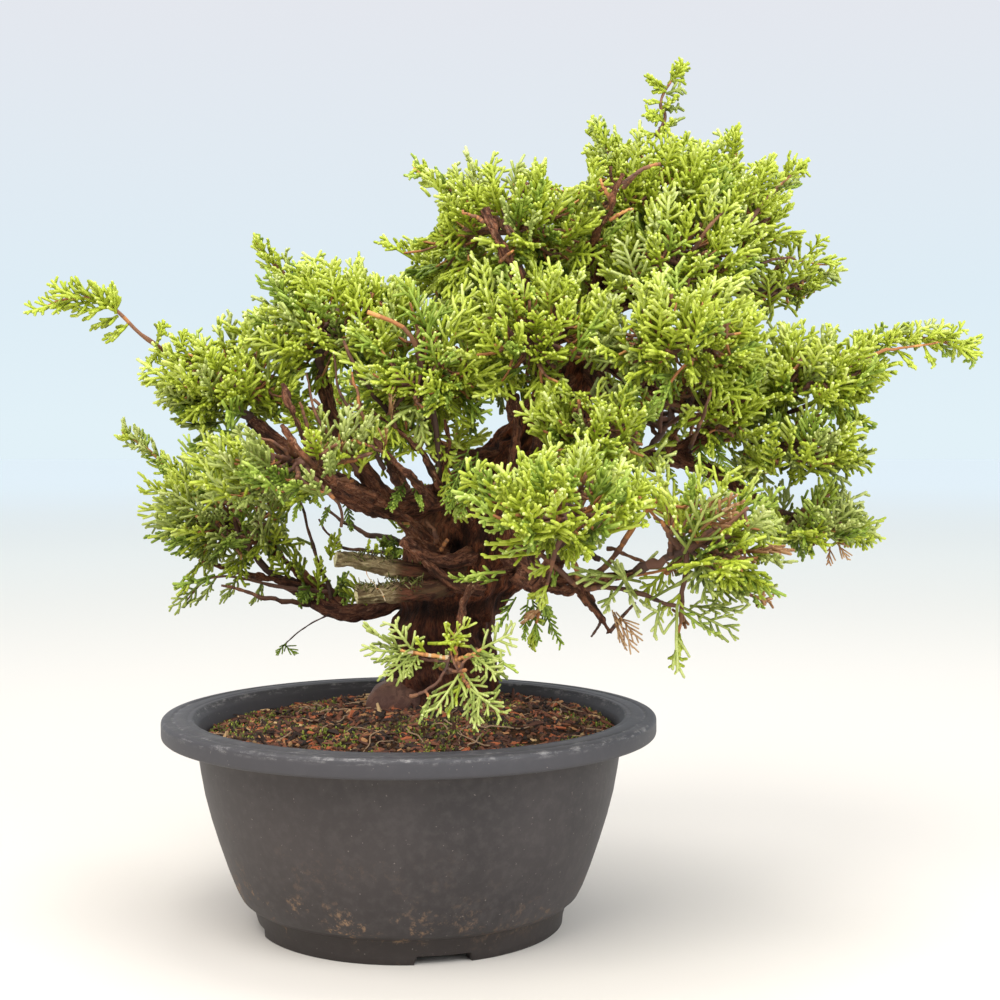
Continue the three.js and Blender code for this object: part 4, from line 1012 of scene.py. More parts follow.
# Twigs that show outside the masses: points from tip to base, radii at both, and browns from 0 old to 4 young
looseTwigs = [
    ([[-13.2, -42, 245.5], [-6.8, -41, 242.9], [0.4, -40, 238.8], [7.7, -34, 220.3], [11.7, -28, 200.3],
      [12.9, -18, 181.7], [17.1, 0, 169.8]], 0.75, 1.3, 4.4, -7.0),
    ([[-40.5, 60, 165.6], [-31.4, 56, 159.7], [-22.6, 50, 155.2], [-11.2, 42, 153.6],
      [-5.2, 34, 151.1]], 0.7, 1.3, 1, 0),
    ([[-43.4, 58, 160.4], [-33.4, 54, 149.7], [-19.7, 46, 147.7], [-6.2, 36, 146.3]], 0.5, 1.0, 1, 0),
    ([[7.6, -7, 164.1], [10.9, -8, 158.1], [9.5, -5, 152.6], [7.0, -2, 148.8]], 0.7, 1.2, 2, 1),
    ([[15.3, -9, 156.1], [12.8, -7, 152.0], [10.7, -3, 147.6]], 0.7, 1.0, 3, 2),
    ([[75.3, -33, 296.9], [77.3, -32, 291.7], [79.3, -30, 287.7]], 0.5, 0.8, 4, 2),
    ([[88.1, -32, 285.5], [83.5, -31, 283.8], [79.2, -27, 281.5]], 0.5, 0.8, 4, 3),
    ([[91.2, -30, 300.3], [87.3, -31, 297.9], [83.5, -31, 295.2]], 0.5, 0.7, 1, 1),
    ([[95.5, -72, 176.8], [90.3, -70, 171.2], [85.3, -68, 164.5], [80.7, -66, 157.0], [76.1, -64, 150.6],
      [69.9, -62, 144.9], [66.3, -60, 141.7]], 0.8, 1.3, 3, 1),
    ([[101.3, -74, 136.1], [95.7, -72, 137.4], [87.8, -70, 140.1], [76.0, -66, 142.3],
      [66.3, -60, 141.7]], 0.7, 1.2, 1, 1),
    ([[86.1, -69, 137.0], [81.4, -68, 131.8], [77.1, -66, 126.0]], 0.45, 0.8, 1, 0),
    ([[70.1, -66, 124.1], [72.0, -66, 126.7], [73.9, -65, 130.3]], 0.4, 0.6, 0, 0),
    ([[39.1, -80, 173.5], [42.0, -78, 168.0], [48.6, -72, 157.8], [57.5, -66, 149.7],
      [66.3, -60, 141.7]], 0.7, 1.2, 3, 1),
    ([[55.7, -76, 169.7], [60.2, -74, 163.4], [62.8, -72, 159.7], [63.3, -68, 154.6],
      [65.5, -61, 144.8]], 0.8, 1.2, 4, 2),
    ([[91.4, -62, 148.6], [88.4, -62, 152.3], [85.5, -62, 153.4], [81.0, -62, 155.6],
      [75.9, -60, 155.9]], 0.6, 0.8, 2, 1),
    ([[60.7, -40, 162.1], [69.1, -40, 156.3], [74.6, -44, 150.9]], 0.7, 1.1, 1, 0),
    ([[0.6, -82, 121.4], [9.5, -80, 120.1], [20.2, -77, 117.1]], 0.6, 0.9, 4, 4),
    ([[31.1, -80, 121.9], [25.7, -79, 119.2], [20.2, -77, 117.1]], 0.6, 0.9, 4, 4),
    ([[25.8, -82, 107.0], [22.8, -80, 112.1], [20.2, -77, 117.1]], 0.6, 0.9, 3, 2),
    ([[19.2, -80, 127.7], [20.7, -79, 122.9], [20.2, -77, 117.1]], 0.5, 0.8, 3, 3),
    ([[-79.7, 20, 135.3], [-71.0, 26, 131.8], [-59.1, 32, 127.8], [-46.0, 44, 124.6]], 0.6, 1.2, 2, 0),
    ([[99.1, -24, 303.7], [91.1, -26, 300.7], [84.4, -22, 294.3]], 0.6, 1.0, 3, 1),
    ([[123.4, -20, 285.1], [117.5, -24, 278.8], [112.1, -22, 270.3], [107.1, -16, 259.8],
      [101.8, -4, 251.9]], 0.6, 1.3, 2, 0),
    ([[181.8, -28, 227.6], [173.3, -30, 221.3], [165.1, -28, 215.1], [155.2, -20, 208.9],
      [143.8, -8, 204.2]], 0.5, 1.1, 2, 0),
    ([[-22.9, -38, 234.8], [-20.2, -38, 226.4], [-13.0, -32, 215.0], [-5.8, -22, 204.2]], 0.6, 1.2, 1, 0),
    ([[-6.2, -40, 216.3], [-5.2, -38, 208.7], [-3.5, -34, 201.1]], 0.5, 0.8, 2, 1),
    ([[-19.5, -46, 196.6], [-12.2, -42, 193.9], [-7.1, -38, 191.1]], 0.4, 0.8, 3, 1),
    ([[-39.3, -44, 211.0], [-37.3, -42, 202.6], [-36.0, -40, 194.2]], 0.5, 0.9, 2, 1),
    ([[-53.8, -44, 197.3], [-47.2, -42, 193.5], [-41.1, -36, 186.5], [-34.3, -28, 180.1]], 0.5, 1.2, 2, 0),
    ([[-30.4, -36, 185.7], [-29.0, -30, 177.8], [-25.6, -30, 168.5], [-24.7, -32, 163.1]], 0.4, 0.7, 1, 1),
    ([[-16.5, -18, 144.5], [-14.1, -19, 141.0], [-8.9, -19, 132.6]], 0.16, 0.24, 5, 5),
    ([[-50.9, 40, 182.9], [-48.2, 42, 165.6], [-42.0, 44, 144.8], [-36.1, 44, 127.4]], 0.5, 0.9, 1, 0),
    ([[-100.8, 48, 124.4], [-91.1, 48, 134.9], [-76.7, 50, 136.0], [-60.7, 48, 132.7],
      [-37.1, 46, 129.9]], 0.4, 1, 2, 0),
    ([[-56.4, 40, 107.6], [-49.5, 40, 113.6], [-40.2, 42, 119.0], [-27.4, 44, 124.0]], 0.25, 0.4, 0, 0),
    ([[22.0, -36, 283.9], [26.6, -35, 281.8], [31.2, -34, 280.0]], 0.5, 0.8, 3, 2),
    ([[41.9, -36, 269.1], [38.9, -33, 267.1], [36.6, -30, 265.1]], 0.5, 0.8, 3, 2),
    ([[110.8, 8, 347.3], [105.2, 8, 340.5], [102.0, 8, 333.7], [103.5, 7, 327.0],
      [100.0, 4, 318.9]], 0.4, 0.9, 3, 1),
    ([[209.8, -18, 234.9], [196.2, -19, 232.9], [185.7, -24, 231.1], [176.7, -26, 227.5]], 0.35, 0.75, 4, 2),
    ([[173.5, 29, 268.9], [165.0, 29, 270.5], [155.0, 24, 271.7], [143.2, 12, 268.2]], 0.35, 0.7, 3, 1),
    ([[154.9, 10, 303.7], [147.5, 4, 296.8], [139.6, -6, 288.0], [133.2, -12, 279.4]], 0.5, 1, 3, 1),
    ([[-143.9, -20, 247.7], [-134.4, -20, 251.2], [-124.2, -20, 252.0], [-115.6, -20, 247.7],
      [-108.3, -18, 240.4], [-98.9, -14, 232.7], [-88.9, -8, 225.0]], 0.4, 1.1, 3.5, 1),
    ([[115.2, -58, 216.0], [113.6, -56, 210.1], [111.8, -50, 202.6], [109.1, -40, 193.5]], 0.5, 1, 2, 0),
    ([[-37.7, -34, 222.3], [-35.0, -37, 208.7], [-26.5, -36, 195.0], [-17.9, -32, 183.5]], 0.35, 1.1, 1, 1),
    ([[-27.5, -32, 230.0], [-24.9, -35, 215.5], [-17.5, -35, 200.3], [-8.2, -30, 184.9]], 0.35, 1.1, 1, 0),
    ([[-19.9, -40, 222.4], [-17.5, -42, 212.5], [-14.5, -41, 202.6]], 0.4, 0.8, 3, 2),
]
# Sprays that show outside the masses: their kind and palette, then for each how light it is, its root's
# place and the place that it points to
straySprays = [
    ("feather", 1, [(1.5, 35.8, -46, 143.4, 16.2, -52, 142.8), (0.5, 42.6, -50, 137.3, 34.7, -54, 122.7),
        (0.5, 48.6, -52, 137.2, 51.5, -56, 119.9), (0.5, 51.6, -52, 137.2, 57.6, -54, 118.5),
        (0.0, 47.1, -50, 136.2, 44.8, -54, 121.5), (0.5, 21.7, -24, 181.5, 15.9, -28, 166.8),
        (0.5, 24.8, -26, 180.8, 21.8, -30, 166.1), (0.5, 27.2, -26, 181.5, 28.8, -30, 167.3),
        (0.0, -1.4, -10, 179.4, -7.1, -16, 167.7), (0.0, 2.6, -10, 178.6, 4.8, -16, 167.7),
        (0.5, 167.5, -30, 212.7, 162.2, -34, 202.6), (0.5, 170.6, -30, 211.9, 171.4, -34, 202.6)]),
    ("slender", 0, [(1.2, 40.8, -84, 167.7, 23.9, -92, 168.8)]),
    ("slender", 1, [(1.5, 41.6, -82, 165.7, 30.5, -90, 164.8)]),
    ("slender", 0, [(1.5, 48.1, -80, 159.9, 29.1, -90, 159.1), (1.5, 51.0, -78, 156.1, 29.1, -88, 153.6)]),
    ("slender", 1, [(2.0, 38.4, -78, 149.2, 23.0, -84, 150.1), (1.5, 55.5, -72, 153.1, 55.7, -78, 164.4),
        (1.0, 54.1, -72, 153.8, 50.9, -80, 169.9)]),
    ("bare", 3, [(1.5, 101.0, -74, 137.0, 99.4, -76, 111.1)]),
    ("needles", 2, [(3.0, 78.3, -70, 133.8, 85.4, -74, 119.6), (3.0, 77.6, -70, 134.6, 80.3, -74, 120.4),
        (3.0, 79.0, -70, 133.8, 87.5, -74, 124.0)]),
    ("bare", 3, [(2.0, 82.3, -70, 144.9, 86.4, -74, 132.8), (2.0, 87.7, -71, 138.4, 92.2, -75, 133.3),
        (2.0, 77.6, -70, 141.9, 75.5, -74, 133.2), (2.0, 94.9, -73, 137.5, 91.7, -76, 124.3),
        (2.0, 82.3, -70, 144.9, 76.9, -68, 152.2), (2.0, 82.3, -70, 144.9, 94.7, -74, 153.3)]),
    ("feather", 0, [(0.0, -16.3, -10, 150.8, -16.8, -14, 156.1), (0.0, -13.1, -10, 150.8, -11.9, -16, 154.6),
        (0.0, -9.9, -10, 150.4, -6.4, -14, 154.1)]),
    ("feather", 1, [(0.0, -5.6, -8, 149.0, -2.5, -14, 152.1)]),
    ("tuft", 1, [(0.5, -82.3, 18, 139.7, -96.2, 10, 134.2), (0.5, -37.5, 50, 134.7, -41.5, 46, 126.4),
        (0.5, -33.1, 50, 135.6, -30.4, 44, 125.7), (0.5, -5.2, 34, 151.1, -14.3, 30, 153.5),
        (0.0, -8.3, 36, 153.1, -11.2, 34, 144.7)]),
    ("needles", 2, [(2.0, 168.7, -20, 156.9, 173.9, -24, 149.3), (2.0, 166.8, -20, 154.9, 166.1, -24, 146.9),
        (2.0, 97.9, -60, 152.1, 101.6, -64, 146.0)]),
    ("hanging", 3, [(2.0, 1.0, -82, 121.4, -12.0, -84, 128.0), (2.0, 2.5, -81, 121.0, -10.5, -84, 120.0),
        (1.0, 5.0, -81, 120.6, -3.0, -84, 110.5), (2.0, 5.5, -81, 120.4, -2.5, -80, 131.0)]),
    ("slender", 0, [(1.2, 9.5, -80, 120.1, 5.5, -84, 127.6), (1.2, 10.5, -80, 123.5, 20.0, -82, 123.4)]),
    ("hanging", 3, [(1.0, 7.5, -80, 120.4, 4.0, -84, 112.5)]),
    ("slender", 0, [(1.2, 20.5, -79, 119.5, 17.0, -81, 128.2), (1.2, 20.8, -79, 122.5, 23.0, -82, 127.0)]),
    ("hanging", 3, [(2.0, 27.0, -79, 119.8, 42.0, -82, 128.5)]),
    ("slender", 1, [(2.0, 30.0, -80, 121.0, 43.5, -84, 113.5)]),
    ("hanging", 3, [(1.5, 26.5, -80, 119.6, 36.5, -84, 112.5), (1.5, 23.5, -79, 118.5, 34.0, -82, 115.5),
        (2.0, 22.5, -80, 113.5, 13.5, -84, 98.5)]),
    ("slender", 0, [(1.2, 23.0, -80, 112.0, 20.5, -84, 96.5)]),
    ("hanging", 3, [(2.0, 23.5, -80, 113.0, 30.5, -83, 102.5), (2.0, 25.8, -82, 107.5, 37.0, -85, 98.0),
        (2.0, 25.8, -82, 107.0, 27.5, -84, 94.5)]),
    ("feather", 1, [(0.5, 24.9, -30, 194.1, 16.5, -36, 170.3), (0.5, 28.0, -30, 191.8, 25.0, -36, 173.4),
        (0.5, -2.3, -30, 176.2, -5.1, -34, 168.7), (0.5, 3.8, -28, 175.4, 7.1, -32, 170.1),
        (1.0, -39.1, -34, 178.7, -41.8, -38, 165.0), (1.0, -36.0, -34, 177.9, -33.3, -38, 169.6),
        (0.5, -28.9, 34, 170.3, -26.9, 30, 156.9), (0.5, -36.3, 40, 167.9, -39.4, 36, 159.1)]),
    ("needles", 2, [(1.0, -32.8, -42, 185.1, -30.8, -46, 200.4), (1.0, -7.6, -42, 192.7, -5.8, -46, 202.6),
        (1.0, -4.7, -40, 202.6, -5.9, -44, 215.5), (1.0, -24.8, -38, 185.0, -20.4, -44, 196.6)]),
    ("tuft", 0, [(0.5, -48.4, 46, 133.3, -53.2, 44, 147.4), (0.5, -42.3, 46, 130.7, -40.1, 42, 143.2)]),
    ("tuft", 1, [(0.5, -35.2, 44, 128.3, -29.4, 38, 138.4)]),
    ("tuft", 0, [(0.5, -54.4, 46, 135.9, -61.9, 44, 145.6)]),
    ("hanging", 3, [(1.5, 105.9, -72, 136.3, 125.5, -78, 135.4), (1.0, 103.5, -74, 135.7, 120.9, -80, 128.4)]),
    ("slender", 1, [(2.0, 102.1, -74, 135.0, 114.5, -80, 124.1)]),
    ("hanging", 3, [(1.5, 111.0, -72, 141.4, 131.3, -78, 139.8)]),
    ("bare", 3, [(1.5, 91.3, -72, 138.5, 108.6, -80, 149.4), (2.0, 86.4, -70, 139.7, 77.0, -78, 151.4)]),
    ("slender", 0, [(1.5, 56.4, -90, 175.8, 35.9, -96, 173.2), (1.5, 57.9, -88, 170.0, 31.6, -94, 166.8),
        (1.0, 55.1, -84, 164.1, 33.0, -90, 158.8)]),
    ("slender", 1, [(1.5, 53.8, -82, 161.1, 36.6, -86, 154.2)]),
    ("feather", 1, [(1.0, 114.1, -30, 196.4, 113.3, -38, 178.9), (1.0, 118.8, -30, 196.4, 124.8, -38, 181.9),
        (1.0, 101.1, -20, 193.2, 102.0, -28, 176.9)]),
    ("needles", 1, [(0.0, -54.7, 40, 109.3, -59.6, 38, 103.9), (0.0, -56.4, 40, 107.6, -51.0, 38, 103.1)]),
    ("hanging", 3, [(1.0, -93.8, 48, 133.1, -103.9, 46, 123.8), (1.0, -86.8, 48, 135.8, -93.5, 46, 123.8),
        (1.0, -77.5, 50, 136.0, -82.5, 48, 126.2), (0.5, -67.0, 49, 133.9, -69.2, 46, 125.5)]),
    ("tuft", 0, [(0.5, -27.1, 40, 125.3, -22.3, 34, 136.2)]),
    ("tuft", 1, [(0.5, -45.5, 44, 132.7, -49.4, 40, 125.3)]),
    ("tuft", 0, [(1.0, -36.8, 44, 143.9, -33.2, 42, 154.4)]),
    ("tuft", 1, [(0.5, -49.4, 42, 169.9, -44.0, 40, 178.6)]),
    ("tuft", 0, [(1.0, -88.9, 56, 146.5, -99.9, 54, 148.4), (1.0, -77.2, 54, 151.9, -80.3, 52, 163.4)]),
    ("tuft", 1, [(0.5, -63.8, 52, 143.3, -67.0, 50, 153.9), (0.5, -72.6, 52, 140.7, -77.4, 50, 148.7)]),
    ("shoot", 0, [(1.2, 104.8, 8, 340.5, 110.8, 8, 347.7), (1.0, 104.4, 8, 338.9, 97.1, 8, 340.9)]),
    ("shoot", 3, [(1.0, 104.0, 8, 336.5, 110.1, 8, 338.9)]),
    ("shoot", 0, [(1.0, 102.8, 8, 333.3, 97.5, 8, 332.5)]),
    ("shoot", 3, [(0.8, 103.2, 8, 330.0, 109.3, 8, 330.8)]),
    ("shoot", 0, [(1.0, 102.4, 8, 326.0, 95.7, 6, 326.5)]),
    ("shoot", 3, [(1.0, 101.6, 8, 322.8, 108.7, 6, 324.9)]),
    ("shoot", 0, [(0.8, 99.8, 6, 320.0, 94.0, 4, 319.7), (1.5, 196.1, -16, 233.4, 202.6, -18, 241.5),
        (1.5, 202.9, -17, 234.9, 212.2, -19, 240.7), (1.5, 209.0, -18, 235.3, 219.4, -20, 238.3),
        (1.5, 212.9, -18, 234.5, 223.1, -20, 230.1), (1.0, 203.7, -17, 233.3, 207.5, -18, 225.8),
        (1.0, 192.7, -17, 232.2, 198.6, -19, 225.4), (1.2, 189.3, -18, 231.7, 192.3, -20, 240.2),
        (1.2, 168.6, 30, 270.6, 178.7, 28, 270.0), (1.2, 165.2, 30, 272.3, 171.1, 28, 280.9)]),
    ("shoot", 3, [(1.0, 165.2, 30, 269.4, 167.5, 28, 258.8)]),
    ("shoot", 0, [(1.2, 162.7, 30, 271.5, 160.2, 28, 280.5)]),
    ("shoot", 3, [(1.0, 167.8, 30, 269.4, 176.3, 28, 261.7)]),
    ("shoot", 0, [(1.2, 154.1, 10, 303.3, 161.7, 12, 309.3), (1.2, 153.1, 9, 302.8, 154.4, 10, 310.2)]),
    ("shoot", 3, [(1.0, 149.1, 4, 298.0, 155.5, 4, 299.6)]),
    ("tuft", 0, [(1.2, 80.2, -10, 311.1, 72.8, -14, 321.4), (1.2, 130.1, 2, 309.8, 132.2, 0, 320.6),
        (1.2, -129.7, -20, 251.6, -147.0, -20, 246.5), (1.2, -122.6, -20, 250.8, -139.6, -21, 252.7),
        (1.0, -123.7, -19, 250.9, -136.5, -18, 247.8), (1.2, -116.4, -20, 248.1, -130.7, -22, 254.9),
        (1.2, -115.6, -20, 247.3, -122.1, -22, 256.1), (1.0, -117.2, -20, 248.8, -128.7, -18, 245.1),
        (1.0, -114.1, -20, 245.7, -115.9, -22, 254.9), (0.8, -113.5, -19, 245.0, -121.9, -17, 240.4),
        (0.8, -109.8, -18, 241.9, -116.2, -16, 235.7), (0.8, -99.3, -16, 233.8, -94.7, -19, 241.1),
        (0.8, -97.9, -15, 231.8, -102.1, -14, 225.6), (1.0, -91.4, -16, 229.4, -85.5, -18, 238.0),
        (1.2, 106.4, 8, 341.3, 111.2, 8, 348.1), (1.0, 104.0, 8, 337.3, 97.5, 8, 341.3),
        (0.8, 102.3, 7, 330.7, 108.7, 6, 334.1), (0.8, 103.0, 6, 324.9, 96.4, 5, 328.7),
        (0.8, 100.4, 4, 318.9, 106.7, 2, 323.4)]),
    ("tuft", 1, [(1.0, -76.5, -16, 210.5, -91.2, -18, 208.9)]),
    ("tuft", 3, [(0.5, -73.0, -14, 203.4, -88.5, -16, 198.7)]),
    ("tuft", 1, [(0.5, -69.8, -14, 197.8, -83.8, -16, 191.5)]),
    ("tuft", 3, [(0.5, -78.0, -12, 215.3, -94.3, -14, 217.7)]),
    ("tuft", 1, [(1.0, -64.1, -20, 201.8, -75.3, -24, 194.0)]),
    ("tuft", 3, [(1.0, -60.7, -22, 196.3, -70.4, -26, 187.8)]),
    ("hanging", 3, [(1.5, 125.7, -66, 150.4, 135.7, -68, 141.0), (1.5, 129.6, -64, 155.4, 141.1, -66, 148.9)]),
]


def growStrays():
    rng = np.random.default_rng(77)
    fans = []
    rows = [(kind, palette, row) for kind, palette, group in straySprays for row in group]
    for kind, palette, (light, *places) in rows:
        root, target = np.array(places, float).reshape(2, 1, 3)
        reach = np.linalg.norm(target - root, axis=1)
        outward = unit(np.array([[0.1, -0.6, 0.8]]) - 0.3 * (target - root) / reach)
        fan = fanFingers(root, (target - root) / reach[:, None], outward, reach, kind, rng)
        # painted light by each spray's listed lightness
        fan["glow"] = np.full(len(fan["length"]), 0.45 + 0.29 * light)
        fan["palette"] = np.full(len(fan["length"]), palette)
        fans.append(fan)
    fingers = joinFans(fans)
    fingers["mass"] = np.full(len(fingers["length"]), len(masses))
    return fingers


def joinTubes(name, parts, looks, replaced=()):
    # Parts of (points, quads, tris, look of each quad, look of each triangle) as one piece.
    points, quads, tris = joinParts([part[:3] for part in parts])
    tones = np.concatenate([part[k] for k in (3, 4) for part in parts])
    makePiece(name, points, [quads, tris], looks, replaced, tones)


def twigTubes(row, rings, sides, seed):
    # Tubes along curves with a wobble and rough radii. Their browns run from the first to the last.
    start, bend, end, first, last, firstTone, lastTone = row
    n, t = len(start), np.linspace(0, 1, rings)
    centres = bezier(start[:, None], bend[:, None], end[:, None], t)
    spots = np.arange(n * rings)
    wobble = np.stack([chance(s + seed, spots + 1.0).reshape(n, rings) for s in (11, 12, 13)], -1)
    centres[:, 1:-1] += (wobble[:, 1:-1] - 0.5) * first * 0.8
    rough = 1 + 0.44 * (chance(17 + seed, spots).reshape(n, rings) - 0.5)
    points, quads, tris = sweep(centres, lerp(first, last, t) * rough, sides)
    uneven = chance(23 + seed, np.arange(n * (rings - 1))).reshape(n, rings - 1) - 0.5
    tone = roundOff(lerp(firstTone, lastTone, (t[1:] + t[:-1]) / 2) + 1.3 * uneven, len(twigTones) - 1)
    ends = np.repeat(tone[:, [0, -1]], sides, axis=1)
    return points, quads, tris, np.repeat(tone, sides, axis=1).ravel(), ends.ravel()


def looseTube(row, seed, rings=22, sides=8):
    # One tube along a smooth line through points, moved aside by value noise.
    spots, first, last, firstTone, lastTone = row
    t = np.linspace(0, 1, rings)
    aside = valueNoise(np.stack([t * 9, t * 0, t * 0 + seed], axis=1), 1)[:, None] - 0.5
    rough = 1 + 0.4 * (chance(41 + seed, np.arange(rings)) - 0.5)
    radii = lerp(first, last, t) * rough
    points, quads, tris = sweep((smoothLine(spots, rings) + aside)[None], radii[None], sides, blunt=0.3)
    uneven = chance(43 + seed, np.arange(rings - 1)) - 0.5
    tone = roundOff(lerp(firstTone, lastTone, (t[1:] + t[:-1]) / 2) + 1.2 * uneven, len(twigTones) - 1)
    return points, quads, tris, np.repeat(tone, sides), np.repeat([tone[0], tone[-1]], sides)


def growFoliage():
    # A finger's tone = the painted light and shade of its place + its place along the spray + a chance for the
    # spray and for itself.
    grown = {name: growMass(name, 100 * (i + 1)) for i, name in enumerate(masses)}
    strays = growStrays()
    for piece, names in [*leafGroups.items(), ("leavesStray", [])]:
        sets = [grown[name][0] for name in names] or [strays]
        fingers = {key: np.concatenate([fan[key] for fan in sets]) for key in strays}
        index = np.arange(len(fingers["length"]))
        noise = chance(5, fingers["spray"] + 37 * fingers["mass"]) - 0.5
        own = chance(7, index) - 0.5
        tone = 0.8 + 3.2 * (fingers["glow"] - 0.5) + 1.6 * (fingers["along"] - 0.5) + 1.2 * noise + 1.0 * own
        tone = roundOff(tone, 5)
        long, short = index[fingers["level"] < 2], index[fingers["level"] == 2]
        parts = [
            tubesOf(fingers, long, [0.0, 0.5, 0.92], [0.9, 1.0, 0.9], foliage["fingerSides"], tone),
            tubesOf(fingers, short, [0.0, 0.88], [1.0, 0.92], foliage["smallSides"], tone),
        ]
        joinTubes(piece, parts, leafLooks, ["leaves_" + name for name in names])
    rows = [(row, 12, 8) for name in masses for row in grown[name][1]]
    rows += [(grown[name][2], 5, 4) for name in masses]
    parts = [twigTubes(*row, seed) for seed, row in enumerate(rows)]
    parts += [looseTube(row, seed) for seed, row in enumerate(looseTwigs)]
    joinTubes("twigs", parts, twigLooks)


growFoliage()
print("foliage done")


# The pot: one profile of radius and height turned about its axis
pot = {
    "sides": 360, "notchTurn": 0.25, "notchHalf": 10.5 / 62, "notchHeight": 3.4, "notches": 4,
    "footRing": (56, 62.5),
    "profile": [
        (0, 3.2), (57, 3.2), (57, 0), (62, 0), (62.3, 3.45), (64.0, 9.6), (64.9, 10.4), (66.4, 11.0),
        (68.6, 12.9), (70.7, 17), (73.6, 24.5), (77.5, 36), (80.4, 45.5), (82.8, 55), (84.4, 64), (85.5, 71.5),
        (86.0, 77.0), (87.0, 77.5), (98.6, 77.5), (99.7, 78.0), (100, 78.9), (100, 83.9), (99.6, 84.8),
        (98.6, 85.3),
        (96.2, 85.5), (95.6, 85.1), (94.8, 85.1), (94.2, 85.5), (90.2, 85.6), (89.6, 85.3), (88.8, 85.35),
        (88.2, 85.5), (87.3, 85.2), (87, 84.4), (85.2, 82), (83.1, 74), (80.4, 55), (76.2, 36), (69.1, 18),
        (59, 8), (0, 5.6),
    ],
}


def roundCorners(profile, size=0.35):
    # Each corner of the profile becomes two points, a little way along its two sides.
    p = np.array(profile, float)
    result = [p[0]]
    for a, b, c in zip(p[:-2], p[1:-1], p[2:]):
        for other in (a, c):
            way = other - b
            result.append(b + way * min(size / np.linalg.norm(way), 0.3))
    result.append(p[-1])
    return np.array(result)


def potPaint():
    # Clouded grey plastic: a painted pale sheen on its lip and painted light on its left side, with brown dust
    # on the ledge over its foot, more of it on the left, worn streaks on the lip's edge and pale specks.
    paint = Paint("mouldedPlastic", Specular_IOR_Level=0.4)
    place = paint.place()
    height = paint.part(place, 2)
    cloud = paint.noise(place, 16, 4)
    fine = paint.noise(place, 260, 4, 0.6)
    speck = paint.noise(place, 900, 1, 0.4)
    dust = paint.noise(place, 60, 5, 0.7)
    grime = paint.noise(place, 330, 5, 0.75)
    streaks = paint.noise(paint.stretch(place, (1, 1, 6)), 90, 5, 0.75)
    # Painted light: the left side, towards the key light, lighter
    left = 1 - (paint.part(place, 0) - float(potAxis[0])).ramp(-0.06, 0.05)
    ledge = height.ramp(0.006, 0.0105) * (1 - height.ramp(0.012, 0.03)) + 0.15 * (1 - height.ramp(0.02, 0.06))
    # Brown dust on the ledge, stronger on the left, where the painted light is
    brown = dust.ramp(0.5, 0.6) * grime.ramp(0.48, 0.62) * ledge * (0.25 + left)
    rim = height.ramp(0.0851, 0.0854)
    worn = height.ramp(0.0822, 0.0846) * (1 - rim) + 0.25 * rim
    worn = worn * streaks.ramp(0.46, 0.62) * grime.ramp(0.38, 0.62) * 0.55
    colour = paint.mix(cloud.ramp(0.35, 0.7), srgb(45, 41, 42), srgb(61, 56, 56))
    for share, over in [
        # painted light on the left side
        (left * 0.3, (72, 62, 56)),
        (fine.ramp(0.4, 0.75) * 0.25, (86, 80, 78)),
        # painted sheen: the lip paler and bluer
        (height.ramp(0.0765, 0.078) * 0.6, (66, 66, 71)),
        ((1 - height.ramp(0.009, 0.013)) * 0.65, (42, 34, 30)),
        (brown, (150, 120, 92)),
        (worn, (160, 156, 154)),
        (speck.ramp(0.755, 0.785) * 0.4, (150, 140, 132)),
    ]:
        colour = paint.mix(share, colour, srgb(*over))
    rough = 0.42 + 0.25 * cloud + 0.3 * brown
    return paint.finish(colour, fine * 0.5 + dust * 0.3, 0.25, 0.0006, Roughness=rough)


def makePot():
    # Point = (radius cos a, radius sin a, height) along the profile, with the notches' heights raised.
    profile, sides = roundCorners(pot["profile"]), pot["sides"]
    angle = 2 * math.pi * np.arange(sides) / sides
    ring = profile[1:-1]
    radius, height = ring[:, :1], ring[:, 1:] * np.ones(sides)
    quarter = 2 * math.pi / pot["notches"]
    off = np.abs((angle + math.pi / 2 - pot["notchTurn"] + quarter / 2) % quarter - quarter / 2)
    inner, outer = pot["footRing"]
    notch = (off < pot["notchHalf"]) & (radius > inner) & (radius < outer) & (height < pot["notchHeight"])
    height = np.where(notch, pot["notchHeight"], height)
    points = np.stack([radius * np.cos(angle), radius * np.sin(angle), height], axis=-1).reshape(-1, 3)
    count = len(points)
    poles = np.array([[0, 0, profile[0, 1]], [0, 0, profile[-1, 1]]])
    faces = [ringFaces(len(ring), sides), poleFaces(sides, count - sides, count, count + 1)]
    makePiece("plasticPot", np.concatenate([points, poles]), faces, [potPaint()], ["pot"])


makePot()
print("pot done")


# The soil: a lumpy disc with bark chips, grit, moss and rootlets on it
soil = {
    "edge": 82.8, "edgeHeight": 78.5, "top": 84.0, "mound": (7.0, 14.0), "moundTop": 34, "moundFoot": 78,
    "sunk": -0.2, "tilt": 0.016, "floor": 6.5, "rings": 130, "sides": 260,
    # waves that fade round the trunk's foot and at the wall
    "wave": 1.1, "trunkFoot": (11, 38), "fadeIn": (26, 38), "fadeOut": (70.8, 82.8),
    "wallRadius": [58.5, 69, 76, 80.2, 82.6], "wallHeight": [8.4, 18, 36, 55, 74],
    "spread": 80.5, "mossSpread": 82, "rootSpread": 72, "rootEdge": 80,
}
